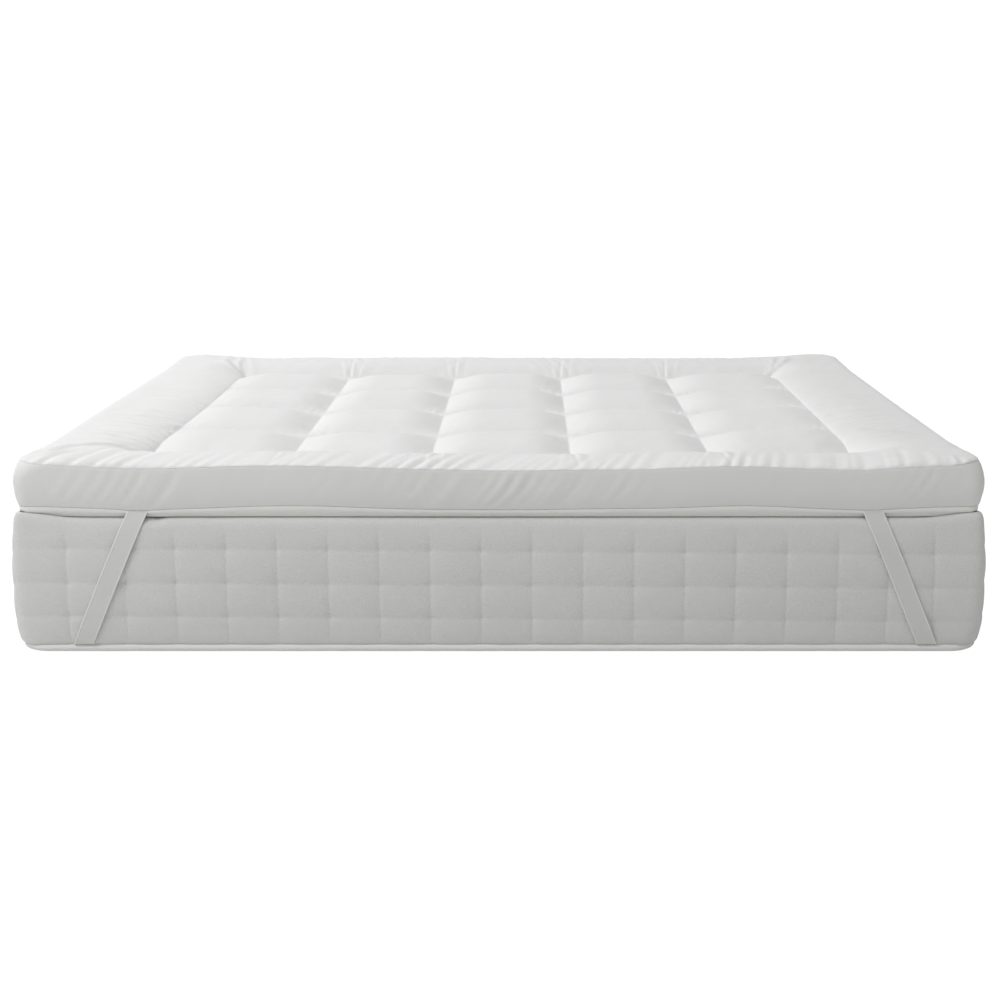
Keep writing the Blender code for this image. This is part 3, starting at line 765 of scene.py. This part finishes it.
# ---- mattress
STITCH_CELL = 0.1039
FIRST_STITCH, NEXT_STITCH, LAST_STITCH = -0.8838, -0.7632, 0.8912
STITCH_ROWS = (0.2197, 0.1486, 0.0776)
HALF_ROW = 0.0355
COLUMN_BULGE, ROW_BULGE = 0.0023, 0.0017
SHOULDER_LIFT = 0.0140         # the shoulder stands higher at the corners, up to the topper's lip
DENT_X, DENT_WIDTH, DENT_DEPTH = 0.304 - HALF_X, 0.016, 0.0040    # where a strap pulls the shoulder in


def stitched_lines(half, stitches, steps):
    """Lines along a side that crowd its stitch lines."""
    ends = np.concatenate([[-half], stitches, [half]])
    widths = np.diff(ends)
    lines = (ends[:-1, None] + widths[:, None] * eased(steps, 0.72)[None, :-1]).ravel()
    return np.concatenate([lines, [half]])


def quilting(position, height, stitches, tilt):
    """How far the ticking is drawn in: a parabola from each stitch line and row to the middle between two.

    Its slope is largest at the stitches, so each line shows as a step from dark to light.
    """
    away = np.min(np.abs(position[:, None] - stitches[None, :]), axis=1)[None, :]
    shade = 0.5 + 0.5 * wander(height[:, None] + 7.0 * position[None, :], 121, 0.05, 0.3)
    row_away = np.min(np.abs(height[:, None, None] - tilt[None, :, None]
                             - np.array(STITCH_ROWS)[None, None, :]), axis=2)
    ends = smooth_step((height - 0.016) / 0.02) * smooth_step((0.276 - height) / 0.05)
    ends = 0.15 + 0.85 * ends[:, None]
    beside = np.exp(-(away / 0.020) ** 1.5)
    bulge = COLUMN_BULGE * (1 - np.minimum(away / (STITCH_CELL / 2), 1)) ** 2 * (0.8 + 0.2 * shade)
    valley = 0.0008 * np.exp(-(away / 0.0030) ** 1.5)
    row = (ROW_BULGE + 0.0013 * beside) * (1 - np.minimum(row_away / HALF_ROW, 1)) ** 2
    row += (0.0003 + 0.0004 * beside) * near(row_away, 0.0, 0.0035)
    knot = 0.0007 * near(away, 0.0, 0.007) * near(row_away, 0.0, 0.006)
    return ends * (bulge + valley + row + knot)


def make_mattress(sizes):
    """The mattress: a soft box with a stitched side, cut back at the floor for its piping."""
    across = np.concatenate([[FIRST_STITCH], NEXT_STITCH + np.arange(16) * STITCH_CELL, [LAST_STITCH]])
    beside = (np.arange(15) - 7) * STITCH_CELL
    x, y = around(stitched_lines(HALF_X, across, 12), stitched_lines(HALF_Y, beside, 12))
    count = len(x)
    on_long = np.abs(y) >= HALF_Y - 1e-9
    position = np.where(on_long, x, y)
    table = along_path(MATTRESS_SIDE, MATTRESS_ROWS)
    insets, heights = table[:, 0], table[:, 1]
    tilt = np.where(on_long, -0.007 * np.sign(-y) * x / HALF_X, -0.007 * np.sign(x) * y / HALF_Y)
    drawn = np.where(on_long[None, :], quilting(position, heights, across, tilt),
                     quilting(position, heights, beside, tilt))
    drawn = drawn * sizes.stitch_depth
    place = rolling(x[None, :] + 2 * y[None, :], heights[:, None] + 0 * x[None, :], 131, 0.05, 0.25)
    side = smooth_step((heights - 0.03) / 0.03) * smooth_step((0.275 - heights) / 0.02)
    drawn = drawn + (0.0004 + 0.0004 * place) * side[:, None]
    drawn = drawn + 0.0018 * (np.maximum(0.0, 0.15 - heights) / 0.13)[:, None] ** 2
    shoulder = near(np.maximum(HALF_X - np.abs(x), HALF_Y - np.abs(y)), 0.0, 0.085)
    dent = DENT_DEPTH * (near(x, DENT_X, DENT_WIDTH) * (y < 0))[None, :]
    dent = dent * smooth_step((heights - 0.268) / 0.016)[:, None]
    drawn = drawn + dent

    rings = []
    for inset in UNDERSIDE_INSETS:
        below = ring(x, y, MATTRESS_FOOT if inset < 0.05 else (HALF_X, HALF_Y, 0.2), 0.0, inset)
        to_corner = HALF_X - np.abs(below[:, 0]) + HALF_Y - np.abs(below[:, 1])
        below[:, 2] = (CORNER_RELIEF + 0.0002) * smooth_step((CORNER_RELIEF_LEG - to_corner) / 0.02 + 0.5)
        rings.append(below)
    rings.append(ring(x, y, MATTRESS_FOOT, REBATE_HEIGHT, REBATE_INSET))
    for row, (inset, height) in enumerate(table):
        outer = smooth_step((height - 0.252) / 0.030) * smooth_step((0.0292 - inset) / 0.005)
        raised = SHOULDER_LIFT * shoulder * outer - 0.75 * dent[row]
        rings.append(ring(x, y, mattress_outline(height), height + raised, pull=inset + drawn[row]))
    points = np.concatenate(rings)
    caps = [np.arange(count)[::-1], (len(rings) - 1) * count + np.arange(count)]
    return make_piece("mattress", points, loop_faces(count, len(rings)), caps=caps)


def make_piping():
    """The piping along the mattress's lower edge: a circle carried round the outline, a little uneven."""
    x, y = around(even_lines(HALF_X, PIPING_STEP), even_lines(HALF_Y, PIPING_STEP))
    walk, round_about = walked(*on_outline(x, y, PIPING_INSET, PIPING_LINE))
    thick = PIPING_RADIUS * (1 - 0.018 * (1 + wander(walk, 141, 0.03, 0.2, round_about)))
    middle = PIPING_FLOOR + PIPING_RADIUS
    turns = np.linspace(0, 2 * np.pi, 15)[:-1]
    points = np.concatenate([
        ring(x, y, PIPING_LINE, middle + thick * math.sin(turn), PIPING_INSET, -thick * math.cos(turn))
        for turn in turns])
    quads = loop_faces(len(x), len(turns) + 1) % len(points)
    cloth = np.stack([np.tile(walk, len(turns)), np.repeat(turns * PIPING_RADIUS, len(x))], axis=1)
    return make_piece("bottom_piping", points, quads, cloth=cloth)


# ---- straps
def strap_rows(start, foot):
    """Inner face of a strap, from the band to the underside: distance from the corner, inset, height."""
    top = BAND_FOOT - STRAP_DRAW - 2 * GAP
    over = REBATE_HEIGHT - GAP
    behind = REBATE_INSET - GAP
    turn = 0.0012
    rows = [(start, RECESS + STRAP_TOP_INSET, top)]
    for inset, height in MATTRESS_SIDE[::-1]:
        if REBATE_HEIGHT + 0.001 < height <= STRAP_TOUCHES:
            share = (top - height) / (top - REBATE_HEIGHT)
            rows.append((start + share * (foot - start), inset - 2 * GAP, height))
    rows += [(foot, MATTRESS_SIDE[0][0] + GAP, over), (foot, behind - turn, over),
             (foot, behind, over - turn), (foot, behind, CORNER_RELIEF - GAP),
             (foot, behind + 5 * turn, CORNER_RELIEF - GAP)]
    return np.array(rows)


def make_strap(name, end, side, start, foot):
    """A flat elastic strap: a ribbon carried along its route, with a raised selvedge at both edges."""
    rows = strap_rows(start, foot)
    steps = np.linalg.norm(np.diff(rows, axis=0), axis=1)
    counts = np.maximum(1, np.round(steps / STRAP_STEP)).astype(int)
    fine = np.concatenate([rows[i] + (rows[i + 1] - rows[i]) * np.linspace(0, 1, n + 1)[:-1, None]
                           for i, n in enumerate(counts)] + [rows[-1:]])
    lean = math.atan2(start - foot, BAND_FOOT - REBATE_HEIGHT)
    half = WEBBING_WIDTH / math.cos(lean) / 2
    across = np.array([-1, -0.97, -0.90, -0.83, -0.78, -0.4, 0, 0.4, 0.78, 0.83, 0.90, 0.97, 1])   # of half
    ridge = 0.0007 * near(np.abs(across), 0.92, 0.05)
    free = smooth_step((fine[:, 2] - 0.035) / 0.02)
    middle, inset, height = fine[:, 0][:, None], fine[:, 1][:, None], fine[:, 2][:, None]
    distance = middle + half * across[None, :]
    out = inset - (0.0005 + ridge[None, :]) * free[:, None]
    high = np.broadcast_to(height, distance.shape)
    first = np.stack([end * (HALF_X - distance), side * (HALF_Y - out), high], axis=2)
    second = np.stack([end * (HALF_X - out), side * (HALF_Y - distance), high], axis=2)[::-1]
    points = np.concatenate([first, second])
    rows_count, columns = points.shape[:2]
    quads = grid_faces(columns, rows_count)
    if end * side > 0:
        quads = quads[:, ::-1]
    middle_line = points[:, columns // 2]
    length = np.concatenate([[0], np.cumsum(np.linalg.norm(np.diff(middle_line, axis=0), axis=1))])
    cloth = np.stack([np.broadcast_to(across[None, :] * WEBBING_WIDTH / 2, points.shape[:2]),
                      np.broadcast_to(length[:, None], points.shape[:2])], axis=2).reshape(-1, 2)
    strap = make_piece(name + "_webbing", points.reshape(-1, 3), quads, cloth=cloth)
    thicken(strap, WEBBING, outward=True)
    return strap, float(length[-1])


# ---- shader nodes
def feed(tree, node, inputs):
    """Give a node its inputs: each is a value, or an output socket to link."""
    for key, value in inputs.items():
        if isinstance(value, bpy.types.NodeSocket):
            tree.links.new(value, node.inputs[key])
        else:
            node.inputs[key].default_value = value
    return node


def add(tree, kind, inputs=None, **settings):
    """A new node with its settings and inputs."""
    node = tree.nodes.new("ShaderNode" + kind)
    for label, value in settings.items():
        setattr(node, label, value)
    return feed(tree, node, inputs or {})


def calc(tree, operation, first, second=0.0):
    return add(tree, "Math", {0: first, 1: second}, operation=operation).outputs[0]


def plus(tree, *terms):
    return reduce(lambda total, term: calc(tree, "ADD", total, term), terms)


def times(tree, *factors):
    return reduce(lambda total, factor: calc(tree, "MULTIPLY", total, factor), factors)


def new_group(name, vector, numbers, results):
    """A shader node group and the sockets inside it: a vector and numbers go in, numbers come out."""
    group = bpy.data.node_groups.new(name, "ShaderNodeTree")
    group.interface.new_socket(name=vector, in_out="INPUT", socket_type="NodeSocketVector")
    for label, value in numbers.items():
        socket = group.interface.new_socket(name=label, in_out="INPUT", socket_type="NodeSocketFloat")
        socket.default_value = value
    for label in results:
        group.interface.new_socket(name=label, in_out="OUTPUT", socket_type="NodeSocketFloat")
    return group, group.nodes.new("NodeGroupInput").outputs, group.nodes.new("NodeGroupOutput").inputs


def plain_weave():
    """Plain weave: the product of two sines across the threads, made uneven by noise drawn out along them."""
    group, given, wanted = new_group("plain_weave", "Cloth", {"Thread": 0.001, "Slub": 0.5},
                                     ("Height", "Tone"))
    count = calc(group, "DIVIDE", 2 * math.pi, given["Thread"])
    turned = add(group, "VectorMath", {0: given["Cloth"], "Scale": count}, operation="SCALE")
    parts = add(group, "SeparateXYZ", {0: turned.outputs[0]}).outputs
    threads = times(group, calc(group, "SINE", parts[0]), calc(group, "SINE", parts[1]), 0.25)
    drawn = []
    for stretch in ((60.0, 700.0, 60.0), (700.0, 60.0, 60.0)):
        place = add(group, "VectorMath", {0: given["Cloth"], 1: stretch}, operation="MULTIPLY")
        noise = add(group, "TexNoise", {"Vector": place.outputs[0], "Scale": 1.0, "Detail": 2.0})
        drawn.append(noise.outputs["Fac"])
    slub = times(group, plus(group, *drawn, -1.0), given["Slub"])
    group.links.new(plus(group, threads, slub), wanted["Height"])
    group.links.new(slub, wanted["Tone"])
    return group


def slow_tone():
    """Slow changes of tone over the object: two noises of different sizes, about zero."""
    group, given, wanted = new_group("slow_tone", "Place", {"Size": 0.12}, ("Tone",))
    scale = calc(group, "DIVIDE", 1.0, given["Size"])
    large = add(group, "TexNoise", {"Vector": given["Place"], "Scale": scale, "Detail": 3.0})
    fine = add(group, "TexNoise", {"Vector": given["Place"], "Scale": 420.0, "Detail": 2.0})
    tone = plus(group, large.outputs["Fac"], times(group, fine.outputs["Fac"], 0.5), -0.75)
    group.links.new(tone, wanted["Tone"])
    return group


def soft_knit():
    """Hammered knit: small soft pits and noise of the same size."""
    group, given, wanted = new_group("soft_knit", "Place", {"Pit": 0.006}, ("Height",))
    scale = calc(group, "DIVIDE", 1.0, given["Pit"])
    pits = add(group, "TexVoronoi", {"Vector": given["Place"], "Scale": scale, "Smoothness": 0.6},
               feature="SMOOTH_F1")
    noise = add(group, "TexNoise", {"Vector": given["Place"], "Scale": scale, "Detail": 3.0})
    group.links.new(plus(group, pits.outputs["Distance"], noise.outputs["Fac"]), wanted["Height"])
    return group


def shared(tree, maker, inputs):
    """Outputs of a shared group, which is built at its first use and has its maker's name."""
    node = tree.nodes.new("ShaderNodeGroup")
    node.node_tree = bpy.data.node_groups.get(maker.__name__) or maker()
    return feed(tree, node, inputs).outputs


def drawn_lines(tree, place, strength):
    """Height and painted shade of fine lines and creases, where the piece's attributes for lines and for
    crease shade ask for them.

    The lines are a noise drawn out along X that slants toward the ends. Along them and in the creases the
    colour
    is darkened: painted shade.
    """
    parts = add(tree, "SeparateXYZ", {0: place}).outputs
    far = calc(tree, "ABSOLUTE", parts[0])
    slanted = plus(tree, times(tree, parts[1], 75.0), times(tree, far, -26.0))
    spot = add(tree, "CombineXYZ", {0: times(tree, far, 5.0), 1: slanted}).outputs[0]
    streak = add(tree, "TexNoise", {"Vector": spot, "Scale": 1.0, "Detail": 1.0}).outputs["Fac"]
    drawn = add(tree, "Attribute", attribute_name="drawn").outputs["Fac"]
    deep = add(tree, "Attribute", attribute_name="deep").outputs["Fac"]
    # Painted shade: the colour is darkened along the lines and in the creases.
    dark = times(tree, calc(tree, "MAXIMUM", plus(tree, streak, -0.52)), drawn, -10.0)
    return times(tree, streak, drawn, strength), plus(tree, dark, times(tree, deep, -1.5))


TONE_SHARE = 0.05              # a tone of 1 makes the colour lighter by this share

# Each cloth: its colour setting, thread or pit in metres, unevenness of its thread, relief in metres,
# roughness, sheen, fuzz, and for some the strength of its drawn lines, which also bring painted shade along
# them and in the creases, or where its selvedge begins.
CLOTHS = {
    "quilted_cotton": {"colour": "top", "thread": 0.0011, "slub": 0.5, "relief": 0.00025, "roughness": 0.82,
                       "sheen": 0.15, "fuzz": 0.7, "lines": 10.0},
    "band_cotton": {"colour": "band", "thread": 0.0011, "slub": 0.5, "relief": 0.00025, "roughness": 0.85,
                    "sheen": 0.10, "fuzz": 0.5},
    "base_cotton": {"colour": "base", "thread": 0.0014, "slub": 0.6, "relief": 0.0003, "roughness": 0.88,
                    "sheen": 0.05},
    "elastic_webbing": {"colour": "webbing", "thread": 0.0018, "slub": 0.8, "relief": 0.0003,
                        "roughness": 0.80, "sheen": 0.05, "selvedge": 0.0168},
    "mattress_knit": {"colour": "knit", "pit": 0.0030, "relief": 0.0006, "roughness": 0.95, "sheen": 0.10,
                      "fuzz": 0.8},
    "piping_tape": {"colour": "piping", "thread": 0.0016, "slub": 0.7, "relief": 0.0004, "roughness": 0.85,
                    "sheen": 0.05},
}


def cloth_material(slot, colours):
    """A fabric from its row of CLOTHS: woven on its own cloth coordinates or knitted, and slowly changing.

    Beyond its selvedge's distance from the middle line, the cloth is lighter. With drawn lines, painted shade
    darkens the colour along them and in the creases.
    """
    look = CLOTHS[slot]
    material = bpy.data.materials.new(slot)
    material.use_nodes = True
    tree = material.node_tree
    shader = tree.nodes["Principled BSDF"]
    shader.inputs["Roughness"].default_value = look["roughness"]
    shader.inputs["Sheen Weight"].default_value = look["sheen"]
    shader.inputs["Sheen Roughness"].default_value = 0.5
    shader.inputs["Specular IOR Level"].default_value = 0.25
    place = add(tree, "TexCoord").outputs["Object"]
    tone = shared(tree, slow_tone, {"Place": place, "Size": 0.14})["Tone"]
    if "pit" in look:
        height = shared(tree, soft_knit, {"Place": place, "Pit": look["pit"]})["Height"]
    else:
        cloth = add(tree, "UVMap", uv_map="cloth").outputs["UV"]
        weave = shared(tree, plain_weave, {"Cloth": cloth, "Thread": look["thread"], "Slub": look["slub"]})
        height = weave["Height"]
        tone = plus(tree, tone, weave["Tone"])
    if "fuzz" in look:
        noise = add(tree, "TexNoise", {"Vector": place, "Scale": 260.0, "Detail": 4.0}).outputs["Fac"]
        height = plus(tree, height, times(tree, noise, look["fuzz"]))
    # Drawn lines: relief, and painted shade along them and in the creases.
    if "lines" in look:
        raised, painted_shade = drawn_lines(tree, place, look["lines"])
        height = plus(tree, height, raised)
        tone = plus(tree, tone, painted_shade)
    if "selvedge" in look:
        side = calc(tree, "ABSOLUTE", add(tree, "SeparateXYZ", {0: cloth}).outputs[0])
        tone = plus(tree, tone, times(tree, calc(tree, "GREATER_THAN", side, look["selvedge"]), 3.5))
    lightness = plus(tree, times(tree, tone, TONE_SHARE), 1.0)
    colour = {0: tuple(getattr(colours, look["colour"])), "Scale": lightness}
    toned = add(tree, "VectorMath", colour, operation="SCALE")
    tree.links.new(toned.outputs[0], shader.inputs["Base Color"])
    bump = add(tree, "Bump", {"Height": height, "Distance": look["relief"], "Strength": 1.0})
    tree.links.new(bump.outputs[0], shader.inputs["Normal"])
    return material


# ---- settings that a user may change
def size_setting(label, text, value, most, **kind):
    return FloatProperty(name=label, description=text, default=value, min=0.0, max=most, **kind)


def colour_setting(label, text, value):
    return FloatVectorProperty(name=label, description=text, default=value, subtype="COLOR", size=3,
                               min=0.0, max=1.0)


class TopperSizes(bpy.types.PropertyGroup):
    """Forms of the cloth that can be made stronger or weaker."""

    cloth_to_spare: size_setting("Cloth to spare", "How much larger than its form the top cloth is cut",
                                 0.009, 0.08, subtype="FACTOR")
    filling_pressure: size_setting("Filling pressure", "Push of the filling against the top cloth", 0.9, 8.0)
    most_puff: size_setting("Most puff", "Farthest that the filling may move the cloth", 0.0018, 0.02,
                            subtype="DISTANCE", unit="LENGTH")
    wrinkles: size_setting("Wrinkles", "Strength of gathers, puckers and creases", 1.0, 2.0, subtype="FACTOR")
    stitch_depth: size_setting("Stitch depth", "How strongly the mattress's side is drawn in at its stitches",
                               1.0, 1.5, subtype="FACTOR")


class TopperColours(bpy.types.PropertyGroup):
    """Colours of the cloths and the studio."""

    top: colour_setting("Top cotton", "Cloth of the quilted top", (0.88, 0.88, 0.875))
    band: colour_setting("Band cotton", "Cloth of the boxed side", (0.80, 0.80, 0.78))
    base: colour_setting("Base cotton", "Cloth under the topper", (0.84, 0.84, 0.81))
    webbing: colour_setting("Webbing", "Elastic straps", (0.69, 0.69, 0.67))
    knit: colour_setting("Knit", "Ticking of the mattress", (0.69, 0.69, 0.68))
    piping: colour_setting("Piping", "Tape over the mattress's lower edge", (0.84, 0.84, 0.83))
    floor: colour_setting("Floor", "Studio floor", (0.85, 0.85, 0.85))


# ---- operators
class BEDDING_OT_quilted_pad(bpy.types.Operator):
    """Build the filled, quilted pad of the topper"""

    bl_idname = "bedding.quilted_pad"
    bl_label = "Quilted pad"

    def execute(self, context):
        pad = make_pad(context.scene.topper_sizes)
        settle(pad, ["topper_pad"], "quilted_cotton", context)
        return {"FINISHED"}


class BEDDING_OT_side_band(bpy.types.Operator):
    """Build the boxed side of the topper"""

    bl_idname = "bedding.side_band"
    bl_label = "Side band"

    def execute(self, context):
        band = make_band(context.scene.topper_sizes)
        settle(band, ["topper_side_band"], "band_cotton", context)
        return {"FINISHED"}


class BEDDING_OT_base_panel(bpy.types.Operator):
    """Build the cloth under the topper, with its lip"""

    bl_idname = "bedding.base_panel"
    bl_label = "Base panel"

    def execute(self, context):
        panel = make_base_panel()
        settle(panel, ["topper_base_panel"], "base_cotton", context)
        return {"FINISHED"}


class BEDDING_OT_straps(bpy.types.Operator):
    """Build the four elastic corner straps"""

    bl_idname = "bedding.straps"
    bl_label = "Corner straps"

    def execute(self, context):
        material = cloth_material("elastic_webbing", context.scene.topper_colours)
        for name, end, side, start, foot in STRAPS:
            strap, length = make_strap(name, end, side, start, foot)
            settle(strap, [name], "elastic_webbing", context, material)
        return {"FINISHED"}


class BEDDING_OT_mattress(bpy.types.Operator):
    """Build the mattress with its stitched side"""

    bl_idname = "bedding.mattress"
    bl_label = "Mattress"

    def execute(self, context):
        mattress = make_mattress(context.scene.topper_sizes)
        settle(mattress, ["mattress_body"], "mattress_knit", context)
        return {"FINISHED"}


class BEDDING_OT_piping(bpy.types.Operator):
    """Build the piping along the mattress's lower edge"""

    bl_idname = "bedding.piping"
    bl_label = "Piping"

    def execute(self, context):
        settle(make_piping(), ["mattress_bottom_piping"], "piping_tape", context)
        return {"FINISHED"}


class BEDDING_OT_studio(bpy.types.Operator):
    """Build the pale floor, the soft lights and the camera"""

    bl_idname = "bedding.studio"
    bl_label = "Studio"

    def execute(self, context):
        make_floor(context.scene.topper_colours.floor)
        make_lights()
        make_camera()
        return {"FINISHED"}


# ---- studio
WHITE = 1.05                   # brightness of the floor and the surround, as the camera sees them
SURROUND = 0.45                # brightness of the surround as a light
FLOOR_HALF = 30.0
LAMP_AIM = (0.0, 0.0, 0.3)
LAMPS = (("left_back", (-4.6, 4.4, 4.0), 3.0, 195.0), ("over_front", (-3.5, -2.5, 5.2), 2.6, 163.0))


def white_to_camera(tree, end, white, lit):
    """End a cleared tree in a mix that the camera sees as even white, and all else as it is lit."""
    out = add(tree, "Output" + end)
    glow = add(tree, white, {"Color": (1, 1, 1, 1), "Strength": WHITE})
    seen = add(tree, "LightPath").outputs["Is Camera Ray"]
    mix = add(tree, "MixShader", {0: seen, 1: lit.outputs[0], 2: glow.outputs[0]})
    tree.links.new(mix.outputs[0], out.inputs["Surface"])


def make_floor(colour):
    """A plain pale floor that the camera sees as evenly white, and that reflects soft light."""
    mesh = bpy.data.meshes.new("floor")
    corners = [(x * FLOOR_HALF, y * FLOOR_HALF, 0) for x, y in ((-1, -1), (1, -1), (1, 1), (-1, 1))]
    mesh.from_pydata(corners, [], [(0, 1, 2, 3)])
    floor = bpy.data.objects.new("floor", mesh)
    bpy.context.scene.collection.objects.link(floor)
    material = bpy.data.materials.new("floor")
    material.use_nodes = True
    tree = material.node_tree
    tree.nodes.clear()
    white_to_camera(tree, "Material", "Emission", add(tree, "BsdfDiffuse", {"Color": (*colour, 1.0)}))
    mesh.materials.append(material)


def make_lights():
    """Two large soft lights, behind the left end and high over the front left, and an even white surround."""
    scene = bpy.context.scene
    for name, place, size, power in LAMPS:
        light = bpy.data.lights.new(name, "AREA")
        light.shape = "SQUARE"
        light.size = size
        light.energy = power
        lamp = bpy.data.objects.new(name, light)
        lamp.location = place
        way = np.array(LAMP_AIM) - np.array(place)
        lamp.rotation_euler = (math.atan2(math.hypot(way[0], way[1]), -way[2]), 0.0,
                               math.atan2(-way[0], way[1]))
        scene.collection.objects.link(lamp)
    world = bpy.data.worlds.new("studio")
    scene.world = world
    world.use_nodes = True
    tree = world.node_tree
    tree.nodes.clear()
    dim = add(tree, "Background", {"Color": (1, 1, 1, 1), "Strength": SURROUND})
    white_to_camera(tree, "World", "Background", dim)
    scene.view_settings.view_transform = "Standard"
    scene.view_settings.look = "None"


def make_camera():
    camera = bpy.data.cameras.new("camera")
    camera.sensor_fit = "HORIZONTAL"
    camera.sensor_width = 36.0
    camera.lens = 52.945
    camera.shift_x = -0.028
    camera.shift_y = -0.0443
    viewer = bpy.data.objects.new("camera", camera)
    viewer.location = (0.0596, -3.6745, 1.0398)
    viewer.rotation_euler = (math.radians(90 - 12.155), 0.0, 0.0)
    bpy.context.scene.collection.objects.link(viewer)
    bpy.context.scene.camera = viewer


# ---- sidebar
STEPS = ("mattress", "piping", "base_panel", "quilted_pad", "side_band", "straps", "studio")


class BEDDING_PT_topper(bpy.types.Panel):
    """Sizes, colours and building steps of the topper"""

    bl_label = "Mattress topper"
    bl_idname = "BEDDING_PT_topper"
    bl_space_type = "VIEW_3D"
    bl_region_type = "UI"
    bl_category = "Topper"

    def draw(self, context):
        for group in (context.scene.topper_sizes, context.scene.topper_colours):
            box = self.layout.box()
            for label in group.__annotations__:
                box.prop(group, label)
        for step in STEPS:
            self.layout.operator("bedding." + step)


CLASSES = (TopperSizes, TopperColours, BEDDING_OT_quilted_pad, BEDDING_OT_side_band, BEDDING_OT_base_panel,
           BEDDING_OT_straps, BEDDING_OT_mattress, BEDDING_OT_piping, BEDDING_OT_studio, BEDDING_PT_topper)


def register():
    for item in CLASSES:
        bpy.utils.register_class(item)
    bpy.types.Scene.topper_sizes = PointerProperty(type=TopperSizes)
    bpy.types.Scene.topper_colours = PointerProperty(type=TopperColours)


def unregister():
    del bpy.types.Scene.topper_colours
    del bpy.types.Scene.topper_sizes
    for item in reversed(CLASSES):
        bpy.utils.unregister_class(item)


def main():
    """Register the classes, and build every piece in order."""
    register()
    for step in STEPS:
        getattr(bpy.ops.bedding, step)()


if __name__ == "__main__":
    main()
